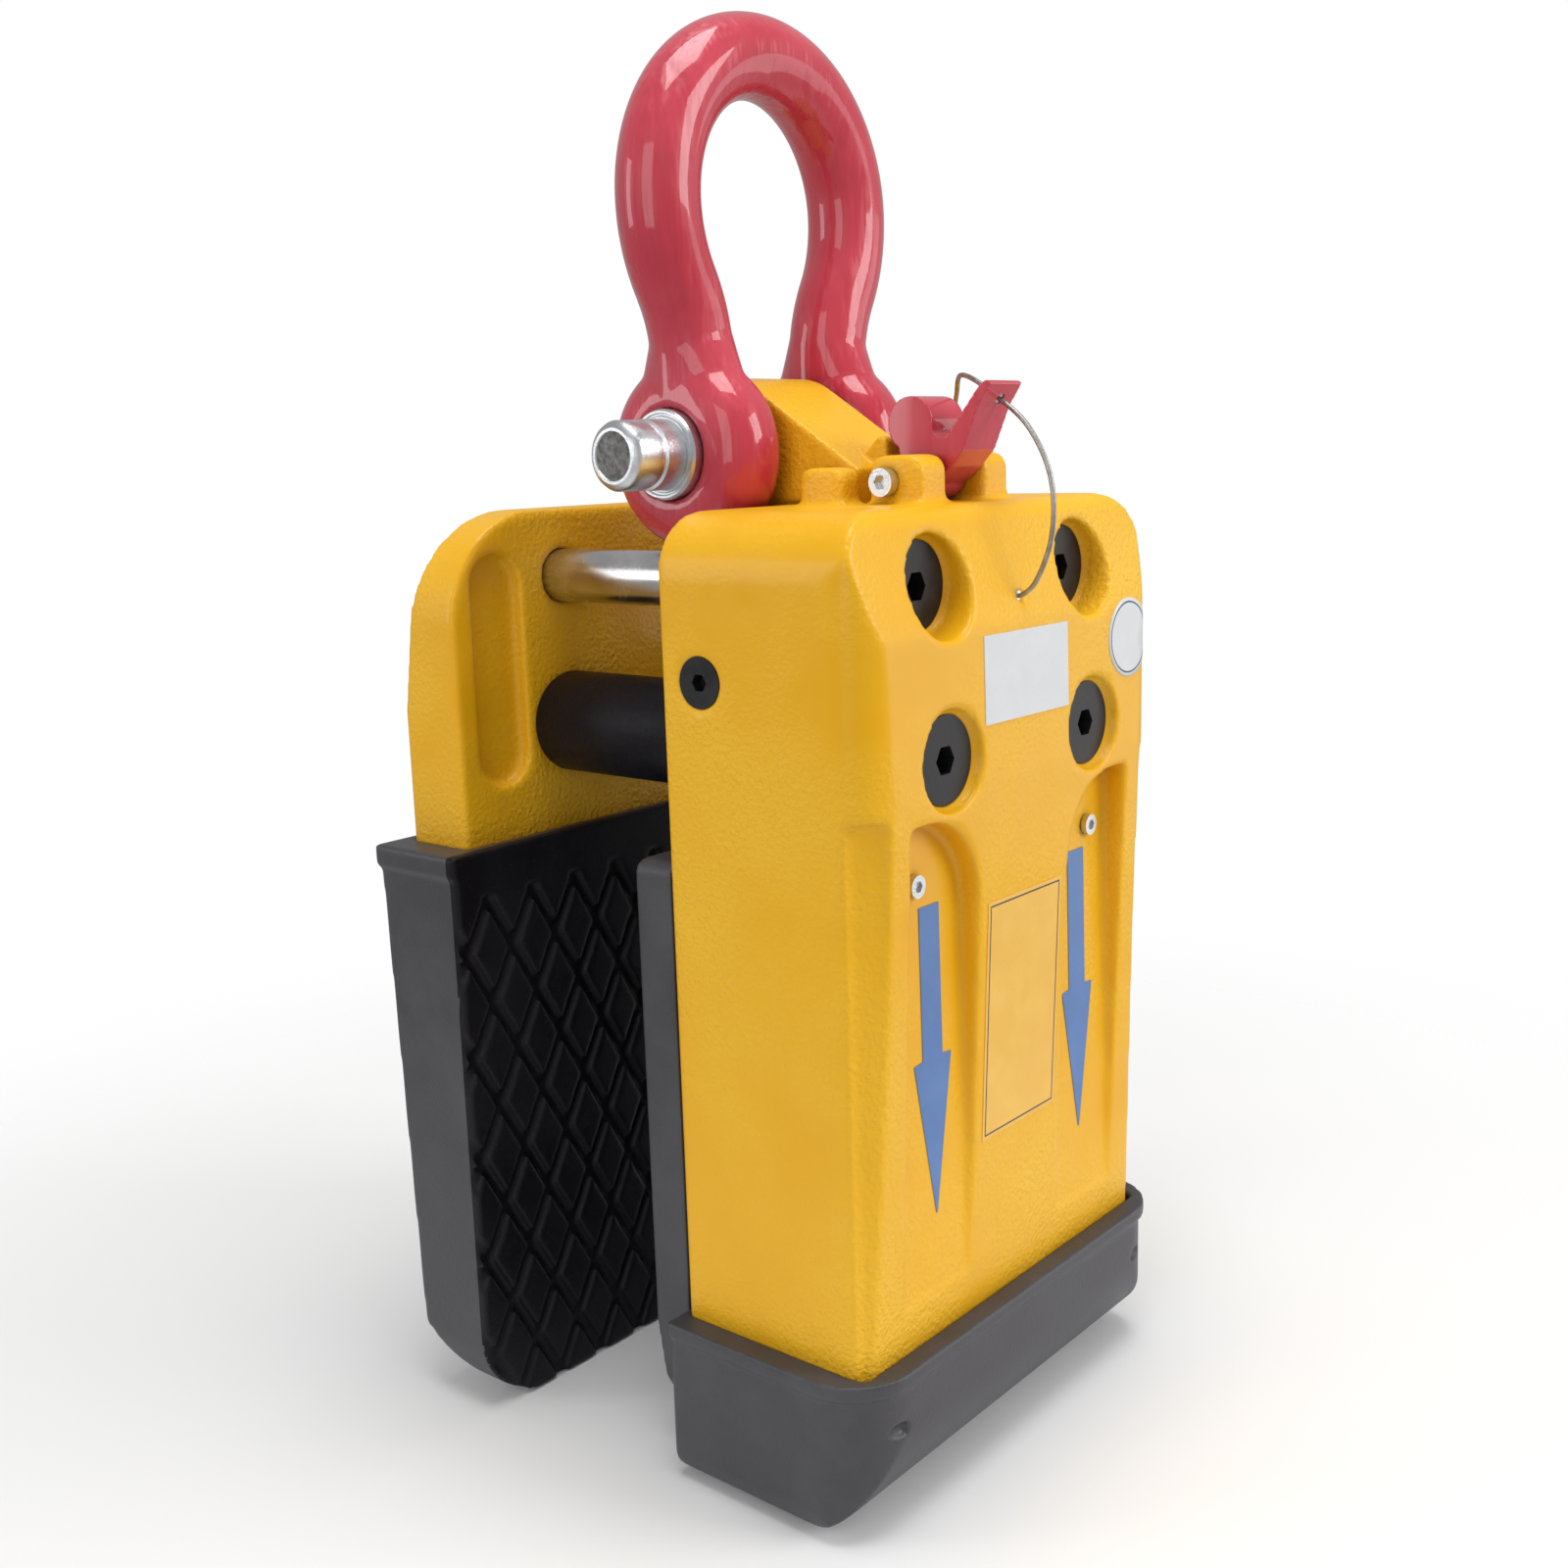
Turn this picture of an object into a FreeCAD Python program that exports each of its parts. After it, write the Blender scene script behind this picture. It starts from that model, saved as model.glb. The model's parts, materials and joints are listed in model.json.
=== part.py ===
import FreeCAD, Part
import math
import os
from FreeCAD import Vector

os.makedirs("parts", exist_ok=True)

# Lifting clamp for stone slabs: X runs along the shackle pin, Y from the housing
# to the fixed jaw, Z up. The pieces are first placed from the back face of the
# housing (Y 0) and its top (Z 0), and then moved so that the origin is under the middle.

# Housing
body_width = 200.0
body_height = 366.0
body_wall = 8.0
top_setback = 4.0
brow_swell = 7.5
waist_swell = 8.5
brow_start = 44.0
waist_start = 101.0
plan_corner = 17.0
crown_corner = 24.0
brow_round = 9.0
back_round = 2.5
channel_half = 35.5
pocket_wall = 9.5
flange_thick = 8.0
slot_half = 24.0
slot_front = 37.0
rim_rise = 56.0

# Front scoops and lower corner flats
scoop_inner = 32.0
scoop_outer = 75.0
scoop_top = 109.5
scoop_rise = 17.0
scoop_floor_deep = 3.0
scoop_arch_share = 0.79
scoop_screw_inset = 14.0
scoop_screw_space = 24.5
corner_flat = 12.0
corner_flat_top = 105.0
corner_flat_share = 0.3

# Tie rods and what sits on them
rod_x = 49.0
rod_dia = 22.0
rod_upper_drop = 28.0
rod_lower_drop = 89.5
rod_bite = 11.5
rod_rear_seat = 6.0
rod_upper_boss = 36.0
rod_lower_boss = 38.0
buffer_dia = 42.5
washer_dia = 44.0
washer_thick = 12.0

# Fasteners
tie_head_dia = 33.0
tie_head_rim = 1.2
tie_shank_dia = 16.0
tie_length = 44.0
tie_socket = 10.0
tie_recess_dia = 37.5
tie_recess = 3.5
side_head_dia = 19.0
side_shank_dia = 10.0
side_length = 24.0
side_socket = 6.0
side_recess = 0.8
small_head_dia = 8.5
small_head_high = 2.5
small_shank_dia = 5.0
small_length = 6.0
small_socket = 4.0

# Rear jaw
opening = 70.0
rear_half = 110.0
rear_top_thick = 20.0
rear_thick = 34.0
rear_slope_end = 80.0
rear_low_thick = 27.0
rear_rise = 8.0
rear_crown_corner = 45.0
rear_foot_corner = 22.0
rear_wall = 9.0
recess_x = 86.0
recess_width = 26.0
recess_top = 17.0
recess_bottom = 112.0
recess_deep = 6.0
recess_end_share = 0.98

# Rubber sleeve of the rear jaw
pad_top = 134.0
pad_face = 9.5
pad_side = 14.0
pad_back = 5.5
pad_taper_rise = 20.0
pad_foot_round = 33.0
pad_lip = 1.6
pad_lip_high = 9.0
sole_thick = 10.0
tread_pitch = 24.0
tread_groove = 5.0
tread_deep = 3.0
tread_angle = 28.6

# Moving jaw
jaw_half = 89.0
jaw_plate_thick = 9.0
jaw_gap = 5.0
jaw_top = 136.0
jaw_rise = 15.0
jaw_pad_lip = 5.0
jaw_pad_chamfer = 34.0
jaw_pad_chamfer_back = 5.0
jaw_corner = 6.0
cheek_inner = 24.0
cheek_thick = 7.0
cheek_edge = 3.0
cheek_clear = 7.0

# Lifting bar and its cam
lift_travel = 65.0
jaw_travel = 50.0
bar_half = 22.0
bar_head_half = 24.0
bar_front = 34.6
bar_shank_front = 21.0
bar_shank_back = 2.0
bar_rise = 50.0
bar_wide_end = 146.0
cam_pin_y = 10.0
cam_pin_upper = 190.0
cam_pin_rise = 66.0
cam_pin_dia = 10.0
roller_dia = 16.0
stop_y = 18.5
stop_drop = 60.0
stop_dia = 16.0
head_radius = 29.0
head_slope = 32.6
head_under = 1.0
hook_half = 11.0
hook_back = 27.0
hook_crest = 35.0
hook_front = 38.4
hook_top = 25.4
hook_round = 1.5

# Shackle
pin_y = 31.0
pin_rise = 20.5
pin_dia = 27.0
eye_bush_dia = 34.5
eye_radius = 37.0
eye_thick = 32.0
eye_inner = 26.0
eye_round = 14.5
bow_dia = 32.4
bow_radius = 57.5
bow_reach = 152.0
neck_length = 34.0
web_rises = (6.0, 24.0, 45.0)
web_half_widths = (33.0, 25.0, 15.9)
web_half_depths = (14.4, 15.4, 15.8)
pin_near_out = 30.0
pin_head_dia = 42.0
pin_head_thick = 11.0
bush_proud = 4.0

# Latch and its lugs
latch_y = 52.2
latch_rise = 8.1
latch_half = 11.0
latch_pin_dia = 8.0
latch_screw_head = 10.4
latch_screw_high = 4.5
latch_screw_shank = 5.0
latch_screw_length = 10.0
latch_screw_socket = 5.0
lobe_y = 49.5
lobe_rise = 29.0
lobe_radius = 10.5
hub_radius = 7.6
notch_y = 43.5
valley_y = 65.6
valley_rise = 24.3
valley_round = 2.4
tail_back_y = 80.2
tail_back_rise = 42.0
tail_top_y = 83.1
tail_top_rise = 43.9
tail_tip_y = 86.1
tail_tip_rise = 43.2
tail_front_y = 80.1
tail_front_rise = 34.3
tail_knee_y = 73.4
tail_knee_rise = 18.6
tail_heel_y = 67.9
tail_heel_rise = 12.6
tail_thick = 4.6
tail_round = 1.2
tail_hole_share = 0.25
lug_inner = 12.2
lug_thick = 17.3
lug_front = 67.3
lug_back = 43.4
lug_top = 17.8
lug_round = 6.0
lug_edge = 2.0
small_lug_front = 36.5
small_lug_back = 16.0
small_lug_top = 13.8
small_lug_out = 37.0
small_lug_hole = 3.0
small_lug_round = 4.5

# Guide plate behind the housing and the jaw's guide pins
guide_front = 14.0
guide_back = 2.0
guide_edge_gap = 2.0
guide_top = 142.0
guide_window = 36.0
guide_window_rise = 44.0
guide_pin_side = 20.0
guide_pin_upper = 165.0
guide_pin_rise = 40.0
guide_pin_dia = 16.0
guide_pin_gap = 1.5
bush_wall = 3.0
guide_screw_space = 25.0
guide_boss_dia = 14.0
guide_screw_dia = 6.0
guide_screw_head = 10.0
guide_screw_head_high = 5.0
guide_screw_socket = 5.0
guide_screw_grip = 12.0
block_back_gap = 0.4
block_thick = 10.0
block_upper = (158.0, 180.0)
block_lower = (224.0, 247.0)

# Rubber boot
boot_front = 8.0
boot_side = 9.0
boot_back = 2.75
boot_bottom_round = 44.0
boot_side_round = 13.0
boot_lip = 1.6
boot_lip_high = 6.0
boot_slot_x = 88.0
boot_slot_rise = 34.0
boot_slot_wide = 9.0
boot_slot_high = 5.0
boot_slot_deep = 3.0

# Wire lanyard from the latch tail to the front of the housing
wire_dia = 1.9
wire_hole_dia = 4.0
wire_face_x = 0.0
wire_face_drop = 35.0
wire_tail_x = 2.0
wire_inset = 1.0
ferrule_length = 9.0
wire_gap = 0.15
wire_end_y = 47.0
wire_end_rise = 23.5
arc_share = 0.45

# Fits
run_gap = 0.05
soft_gap = 0.3
side_gap = 0.5
over = 5.0


def box(x0, x1, y0, y1, z0, z1):
    return Part.makeBox(x1 - x0, y1 - y0, z1 - z0, Vector(x0, y0, z0))


def rod_along_x(radius, x0, x1, y, z):
    return Part.makeCylinder(radius, x1 - x0, Vector(x0, y, z), Vector(1, 0, 0))


def rod_along_y(radius, y0, y1, x, z):
    return Part.makeCylinder(radius, y1 - y0, Vector(x, y0, z), Vector(0, 1, 0))


def outline(corners, place):
    # closed line through corners (u, v, radius), each rounded by a tangent arc
    count = len(corners)
    points = [FreeCAD.Vector(u, v, 0) for u, v, r in corners]
    starts, mids, ends = [], [], []
    for i, (u, v, r) in enumerate(corners):
        here = points[i]
        back = (points[i - 1] - here).normalize()
        ahead = (points[(i + 1) % count] - here).normalize()
        half = back.getAngle(ahead) / 2
        reach = r / math.tan(half) if r else 0.0
        starts.append(here + back * reach)
        ends.append(here + ahead * reach)
        middle = back + ahead
        mids.append(here + middle.normalize() * (r / math.sin(half) - r) if r else here)
    edges = []
    for i in range(count):
        a, m, b = (place(p.x, p.y) for p in (starts[i], mids[i], ends[i]))
        if corners[i][2]:
            edges.append(Part.Arc(a, m, b).toShape())
        following = place(starts[(i + 1) % count].x, starts[(i + 1) % count].y)
        if b.distanceToPoint(following) > run_gap:
            edges.append(Part.LineSegment(b, following).toShape())
    return Part.Face(Part.Wire(edges))


def prism_x(corners, x0, x1):
    # corners are (y, z, radius)
    face = outline(corners, lambda u, v: Vector(x0, u, v))
    return face.extrude(Vector(x1 - x0, 0, 0))


def prism_y(corners, y0, y1):
    # corners are (x, z, radius)
    face = outline(corners, lambda u, v: Vector(u, y0, v))
    return face.extrude(Vector(0, y1 - y0, 0))


def prism_z(corners, z0, z1):
    # corners are (x, y, radius)
    face = outline(corners, lambda u, v: Vector(u, v, z0))
    return face.extrude(Vector(0, 0, z1 - z0))


def fused(shapes):
    return shapes[0].multiFuse(shapes[1:]).removeSplitter()


def cut(shape, tools):
    for tool in tools:
        shape = shape.cut(tool)
    return shape


def common(shape, *others):
    for other in others:
        shape = shape.common(other)
    return shape


def both_sides(shape):
    return [shape, shape.mirror(Vector(0, 0, 0), Vector(1, 0, 0))]


def group(shapes):
    return Part.makeCompound([s for shape in shapes for s in shape.Solids])


def hex_prism(across, y0, y1, x, z):
    radius = across / math.sqrt(3)
    turns = [math.radians(60 * k) for k in range(6)]
    return prism_y([(x + radius * math.cos(t), z + radius * math.sin(t), 0) for t in turns], y0, y1)


def countersunk_screw(head, rim, shank, length, socket, x, y, z):
    # head face at y, pointing to +Y
    cone = (head - shank) / 2
    body = rod_along_y(shank / 2, y, y + length, x, z)
    top = rod_along_y(head / 2, y, y + rim, x, z)
    taper = Part.makeCone(head / 2, shank / 2, cone, Vector(x, y + rim, z), Vector(0, 1, 0))
    return fused([body, top, taper]).cut(hex_prism(socket, y - over, y + cone, x, z))


def countersunk_hole(head, rim, shank, length, x, y, z):
    cone = (head - shank) / 2
    body = rod_along_y(shank / 2 + run_gap, y - over, y + length + side_gap, x, z)
    top = rod_along_y(head / 2 + run_gap, y - over, y + rim, x, z)
    taper = Part.makeCone(head / 2 + run_gap, shank / 2 + run_gap, cone, Vector(x, y + rim, z), Vector(0, 1, 0))
    return fused([body, top, taper])


def socket_screw(head, high, shank, length, socket, x, y, z):
    # seat at y, shank towards +Y, head towards -Y
    body = rod_along_y(shank / 2, y - high / 2, y + length, x, z)
    top = rod_along_y(head / 2, y - high, y, x, z)
    return fused([body, top]).cut(hex_prism(socket, y - high - over, y - high / 2, x, z))


def turned_to_x(shape, x, y, z):
    # a screw made along +Y at the origin, set along +X with its head face at x
    placed = shape.copy()
    placed.rotate(Vector(0, 0, 0), Vector(0, 0, 1), -90)
    placed.translate(Vector(x, y, z))
    return placed


half = body_width / 2
cavity_depth = cam_pin_y + jaw_travel + roller_dia / 2 + cheek_edge + cheek_clear
low_depth = cavity_depth + body_wall
top_depth = low_depth - top_setback
brow_depth = low_depth + brow_swell
waist_depth = low_depth + waist_swell
pocket_depth = top_depth - pocket_wall
scoop_floor_top = low_depth - scoop_floor_deep
rim_drop = body_height - rim_rise
scoop_bottom = rim_drop - scoop_rise
foot_drop = body_height + sole_thick
rear_height = body_height - rear_rise
pad_taper_start = body_height - pad_taper_rise
jaw_bottom = body_height - jaw_rise
bar_bottom = body_height - bar_rise
cam_pin_lower = body_height - cam_pin_rise
guide_half = half - body_wall - guide_edge_gap
guide_window_bottom = body_height - guide_window_rise
guide_pin_lower = body_height - guide_pin_rise
guide_pin_x = half - body_wall - guide_pin_side
guide_pin_end = pocket_depth - guide_pin_gap
guide_screw_drops = (guide_pin_upper + guide_screw_space, (guide_pin_upper + guide_pin_lower) / 2,
                     guide_pin_lower - guide_screw_space)
boot_slot_drop = body_height - boot_slot_rise
foot_corner = boot_side_round - boot_side
foot_round = boot_bottom_round - boot_front
pocket_bottom = body_height - body_wall - foot_round / 4
guide_bottom = pocket_bottom - side_gap
rear_in = jaw_gap + jaw_plate_thick + pad_face + opening + pad_face
jaw_face = jaw_gap + jaw_plate_thick + pad_face
upper_seat_y = -(top_depth - tie_recess)
lower_seat_y = -(brow_depth - tie_recess)
rods = [(s * rod_x, -drop) for s in (-1, 1) for drop in (rod_upper_drop, rod_lower_drop)]


def front_seat_y(z):
    # where the head of a front tie screw lies
    return upper_seat_y if z > -rod_lower_drop else lower_seat_y


def rod_front_y(z):
    # front end of a tie rod, with its screw reaching into it
    return front_seat_y(z) + tie_length - rod_bite


def front_depth(drop):
    # depth of the front face at a drop below the top
    marks = [(0.0, top_depth), (brow_start, brow_depth), (waist_start, waist_depth),
             (rim_drop, low_depth), (body_height, low_depth)]
    for (d0, y0), (d1, y1) in zip(marks, marks[1:]):
        if drop <= d1:
            return y0 + (y1 - y0) * (drop - d0) / (d1 - d0)
    return low_depth


def housing_outer():
    side = [(0.0, 0.0, back_round), (0.0, -body_height, back_round),
            (-low_depth, -body_height, foot_round), (-low_depth, -rim_drop, 0.0),
            (-waist_depth, -waist_start, 0.0), (-brow_depth, -brow_start, brow_round),
            (-top_depth, 0.0, brow_round)]
    plan = [(-half, 0.0, back_round), (half, 0.0, back_round),
            (half, -waist_depth, plan_corner), (-half, -waist_depth, plan_corner)]
    foot_plan = [(-half, 0.0, back_round), (half, 0.0, back_round),
                 (half, -low_depth, plan_corner), (-half, -low_depth, plan_corner)]
    face = [(-half, 0.0, crown_corner), (half, 0.0, crown_corner),
            (half, -body_height, foot_corner), (-half, -body_height, foot_corner)]
    rim = -rim_drop - boot_lip_high
    upright = fused([prism_z(plan, rim, 0.0), prism_z(foot_plan, -body_height, rim)])
    return common(prism_x(side, -half, half), upright, prism_y(face, -waist_depth, 0.0))


def scoop(sign):
    arch = (scoop_outer - scoop_inner) * scoop_arch_share
    face = [(sign * scoop_inner, -scoop_top, arch), (sign * scoop_outer, -scoop_top, back_round),
            (sign * scoop_outer, -scoop_bottom, 0.0), (sign * scoop_inner, -scoop_bottom, 0.0)]
    floor = [(-scoop_floor_top, -scoop_top + over, 0.0), (-low_depth, -scoop_bottom, 0.0),
             (-waist_depth - over, -scoop_bottom, 0.0), (-waist_depth - over, -scoop_top + over, 0.0)]
    reach = scoop_outer + over
    return common(prism_y(face, -waist_depth - over, 0.0), prism_x(floor, -reach, reach))


def corner_cut(sign):
    plan = [(sign * (half - corner_flat), -waist_depth - over, 0.0),
            (sign * (half + over), -waist_depth - over, 0.0),
            (sign * (half + over), -waist_depth + corner_flat, 0.0),
            (sign * (half - corner_flat_share * corner_flat), -waist_depth + corner_flat, 0.0),
            (sign * (half - corner_flat), -waist_depth + corner_flat_share * corner_flat, 0.0)]
    return prism_z(plan, -rim_drop - over, -corner_flat_top)


def housing_cavity():
    inner = [(over, -flange_thick, 0.0), (over, -body_height + body_wall, 0.0),
             (-cavity_depth, -body_height + body_wall, foot_round - body_wall),
             (-cavity_depth, -brow_start, 0.0), (-top_depth + body_wall, -flange_thick, 0.0)]
    channel = prism_x(inner, -channel_half, channel_half)
    pocket = box(-half + body_wall, half - body_wall, -pocket_depth, over,
                 -pocket_bottom, -crown_corner)
    return channel, pocket


def housing_body():
    outer = housing_outer()
    channel, pocket = housing_cavity()
    shell = outer.cut(channel).cut(pocket)
    adds = []
    for x, z in rods:
        dia = rod_upper_boss if z > -rod_lower_drop else rod_lower_boss
        adds.append(rod_along_y(dia / 2, -top_depth, 0.0, x, z))
    for x, z in rods:
        if z == -rod_lower_drop:
            adds.append(rod_along_y(washer_dia / 2, -over, 0.0, x, z).common(
                box(-half, half, -over, 0.0, -body_height, 0.0)))
    for drop in guide_screw_drops:
        for sign in (-1, 1):
            adds.append(rod_along_y(guide_boss_dia / 2, -pocket_depth - body_wall / 2, -guide_front,
                                    sign * guide_pin_x, -drop))
    for top, bottom in (block_upper, block_lower):
        adds.append(box(-bar_half + side_gap, bar_half - side_gap, -cavity_depth - body_wall / 2,
                        -bar_shank_front - block_back_gap - block_thick, -bottom, -top))
    adds += latch_lugs()
    body = fused([shell] + adds)
    tools = [box(-slot_half, slot_half, -slot_front, over, -2 * flange_thick, 2 * lug_top)]
    for x, z in rods:
        seat = front_seat_y(z)
        tools.append(rod_along_y(tie_recess_dia / 2, -waist_depth - over, seat, x, z))
        tools.append(countersunk_hole(tie_head_dia, tie_head_rim, tie_shank_dia, tie_length, x, seat, z))
        tools.append(rod_along_y(rod_dia / 2 + run_gap, rod_front_y(z), over, x, z))
    hole = countersunk_hole(side_head_dia, tie_head_rim, side_shank_dia, side_length, 0.0, 0.0, 0.0)
    side = turned_to_x(hole, -half + side_recess, -stop_y, -stop_drop)
    tools += both_sides(side)
    tools += [scoop(-1), scoop(1), corner_cut(-1), corner_cut(1)]
    tools.append(rod_along_x(latch_pin_dia / 2 + run_gap, -lug_inner - lug_thick - over,
                             lug_inner + lug_thick + over, -latch_y, latch_rise))
    tools += both_sides(rod_along_x(small_lug_hole / 2, slot_half + over, small_lug_out + over,
                                    -small_lug_front + small_lug_hole, small_lug_top - small_lug_hole * 1.5))
    for drop in guide_screw_drops:
        for sign in (-1, 1):
            tools.append(rod_along_y(guide_screw_dia / 2 + run_gap, -guide_front - guide_screw_grip - side_gap,
                                     over, sign * guide_pin_x, -drop))
    for sign in (-1, 1):
        tools.append(rod_along_y(small_shank_dia / 2 + run_gap, -waist_depth, -pocket_depth + over,
                                 sign * scoop_screw_x, -scoop_screw_drop))
    tools.append(wire_anchor_hole())
    return cut(body, tools)


def latch_lugs():
    lug = [(-lug_front, -over, 0.0), (-lug_back, -over, 0.0),
           (-lug_back, lug_top, lug_round), (-lug_front, lug_top, lug_round)]
    small = [(-small_lug_front, -over, 0.0), (-small_lug_back, -over, 0.0),
             (-small_lug_back, small_lug_top, small_lug_round), (-small_lug_front, small_lug_top, small_lug_round)]
    solids = []
    for corners, x0, x1 in ((lug, lug_inner, lug_inner + lug_thick), (small, slot_half, small_lug_out)):
        block = prism_x(corners, x0, x1)
        rims = [e for e in block.Edges if e.BoundBox.XLength < run_gap and e.BoundBox.ZMax > 0]
        solids += both_sides(block.makeFillet(lug_edge, rims))
    return solids


scoop_screw_x = scoop_outer - scoop_screw_inset
scoop_screw_drop = scoop_top + scoop_screw_space
scoop_seat_y = -(scoop_floor_top + (low_depth - scoop_floor_top)
                 * (scoop_screw_drop + small_head_dia - scoop_top + over) / (scoop_bottom - scoop_top + over))


def wire_anchor_hole():
    depth = front_depth(wire_face_drop)
    return rod_along_y(wire_hole_dia / 2, -depth - over, -depth + 2 * body_wall, wire_face_x, -wire_face_drop)


def bottom_boot():
    front = -low_depth - boot_front
    side = [(boot_back, -rim_drop, 0.0), (boot_back, -foot_drop, boot_lip_high),
            (front, -foot_drop, boot_bottom_round), (front, -rim_drop, 0.0)]
    lip = [(boot_back, -rim_drop, 0.0), (boot_back, -rim_drop - boot_lip_high, 0.0),
           (front - boot_lip, -rim_drop - boot_lip_high, 0.0), (front - boot_lip, -rim_drop, 0.0)]
    wide = half + boot_side
    plan = [(-wide, boot_back, back_round), (wide, boot_back, back_round),
            (wide, front, plan_corner + boot_side), (-wide, front, plan_corner + boot_side)]
    lip_plan = [(-wide - boot_lip, boot_back, back_round), (wide + boot_lip, boot_back, back_round),
                (wide + boot_lip, front - boot_lip, plan_corner + boot_side),
                (-wide - boot_lip, front - boot_lip, plan_corner + boot_side)]
    face = [(-wide, -rim_drop, 0.0), (wide, -rim_drop, 0.0),
            (wide, -foot_drop, boot_side_round), (-wide, -foot_drop, boot_side_round)]
    outer = common(prism_x(side, -wide, wide), prism_z(plan, -foot_drop, -rim_drop),
                   prism_y(face, front, boot_back))
    rim = common(prism_x(lip, -wide - boot_lip, wide + boot_lip),
                 prism_z(lip_plan, -rim_drop - boot_lip_high, -rim_drop))
    boot = fused([outer, rim]).cut(housing_outer())
    reach = guide_pin_x + guide_pin_dia
    window = box(-reach, reach, -over, boot_back + over, -pocket_bottom, -rim_drop + over)
    slots = both_sides(box(boot_slot_x - boot_slot_wide / 2, boot_slot_x + boot_slot_wide / 2,
                           front - over, front + boot_slot_deep,
                           -boot_slot_drop - boot_slot_high / 2, -boot_slot_drop + boot_slot_high / 2))
    return cut(boot, [window] + slots)


def rear_plate_outer():
    side = [(rear_in, 0.0, back_round), (rear_in + rear_top_thick, 0.0, back_round),
            (rear_in + rear_thick, -rear_slope_end, brow_round),
            (rear_in + rear_thick, -pad_top, 0.0),
            (rear_in + rear_low_thick, -pad_taper_start, 0.0),
            (rear_in + rear_low_thick / 2, -rear_height, 0.0), (rear_in, -rear_height, 0.0)]
    face = [(-rear_half, 0.0, rear_crown_corner), (rear_half, 0.0, rear_crown_corner),
            (rear_half, -rear_height, rear_foot_corner), (-rear_half, -rear_height, rear_foot_corner)]
    return common(prism_x(side, -rear_half, rear_half),
                  prism_y(face, rear_in, rear_in + rear_thick))


def rear_jaw_plate():
    plate = rear_plate_outer()
    tools = []
    end = recess_width / 2 * recess_end_share
    for sign in (-1, 1):
        x0, x1 = sign * recess_x - recess_width / 2, sign * recess_x + recess_width / 2
        tools.append(prism_y([(x0, -recess_top, end), (x1, -recess_top, end),
                              (x1, -recess_bottom, end), (x0, -recess_bottom, end)],
                             rear_in - over, rear_in + recess_deep))
    for sign in (-1, 1):
        x0, x1 = sorted((sign * rear_wall / 2, sign * (rear_half - rear_wall)))
        tools.append(box(x0, x1, rear_in + rear_wall, rear_in + rear_thick + over,
                         -pad_taper_start + rear_wall, -pad_top - 2 * rear_wall))
    for x, z in rods:
        tools.append(rod_along_y(rod_dia / 2 + run_gap, rear_in - over, rear_in + rod_rear_seat, x, z))
        hole = countersunk_hole(tie_head_dia, tie_head_rim, tie_shank_dia, tie_length, 0.0, 0.0, 0.0)
        tools.append(turned_to_back(hole, x, rear_seat_y(z), z))
        tools.append(rod_along_y(tie_recess_dia / 2, rear_seat_y(z), rear_in + rear_thick + over, x, z))
    return cut(plate, tools)


def rear_outer_y(z):
    share = min(-z / rear_slope_end, 1.0)
    return rear_in + rear_top_thick + (rear_thick - rear_top_thick) * share


def rear_seat_y(z):
    return rear_outer_y(z) - 2 * tie_recess


def turned_to_back(shape, x, y, z):
    # a screw made along +Y at the origin, set along -Y with its head face at y
    placed = shape.copy()
    placed.rotate(Vector(0, 0, 0), Vector(0, 0, 1), 180)
    placed.translate(Vector(x, y, z))
    return placed


def tread_grooves(x_half, y_face, z_top, z_bottom, into):
    # crossing grooves that leave raised diamonds on a pad's face
    middle = Vector(0, y_face, (z_top + z_bottom) / 2)
    reach = x_half + (z_top - z_bottom)
    slope = math.radians(tread_angle)
    step = tread_pitch * math.cos(slope)
    count = int(reach / step)
    y0, y1 = sorted((y_face + into * tread_deep, y_face - into * over))
    field = box(-x_half, x_half, y0, y1, z_bottom, z_top)
    tools = []
    for turn in (-tread_angle, tread_angle):
        for k in range(-count, count + 1):
            groove = box(-tread_groove / 2 + k * step, tread_groove / 2 + k * step, y0, y1, -reach, reach)
            groove.rotate(Vector(0, 0, 0), Vector(0, 1, 0), turn)
            groove.translate(Vector(0, 0, middle.z))
            piece = groove.common(field)
            if piece.Solids:
                tools.append(piece)
    return Part.makeCompound(tools)


def rear_jaw_pad():
    out = rear_in + rear_thick + pad_back
    side = [(rear_in - pad_face, -pad_top, 0.0), (out, -pad_top, back_round),
            (out - (rear_thick - rear_low_thick), -pad_taper_start, brow_round),
            (rear_in + pad_face / 2, -foot_drop, pad_face), (rear_in - pad_face, -foot_drop, pad_face / 4)]
    wide = rear_half + pad_side
    face = [(-wide, -pad_top, 0.0), (wide, -pad_top, 0.0),
            (wide, -foot_drop, pad_foot_round), (-wide, -foot_drop, pad_foot_round)]
    pad = common(prism_x(side, -wide, wide), prism_y(face, rear_in - pad_face, out))
    rim = box(-wide - pad_lip, wide + pad_lip, rear_in - pad_face, out + pad_lip,
              -pad_top - pad_lip_high, -pad_top)
    pad = fused([pad, rim]).cut(rear_plate_outer())
    grooves = tread_grooves(wide + pad_lip, rear_in - pad_face, -pad_top - 2 * pad_lip_high,
                            -foot_drop, 1)
    return pad.cut(grooves)


def tie_rods(drop):
    shapes = []
    for sign in (-1, 1):
        front = rod_front_y(-drop)
        rod = rod_along_y(rod_dia / 2, front, rear_in + rod_rear_seat, sign * rod_x, -drop)
        bores = [rod_along_y(tie_shank_dia / 2 + run_gap, front - over, front + rod_bite + side_gap,
                             sign * rod_x, -drop),
                 rod_along_y(tie_shank_dia / 2 + run_gap, rear_seat_y(-drop) - tie_length - side_gap,
                             rear_in + rod_rear_seat + over, sign * rod_x, -drop)]
        shapes.append(cut(rod, bores))
    return group(shapes)


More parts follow.
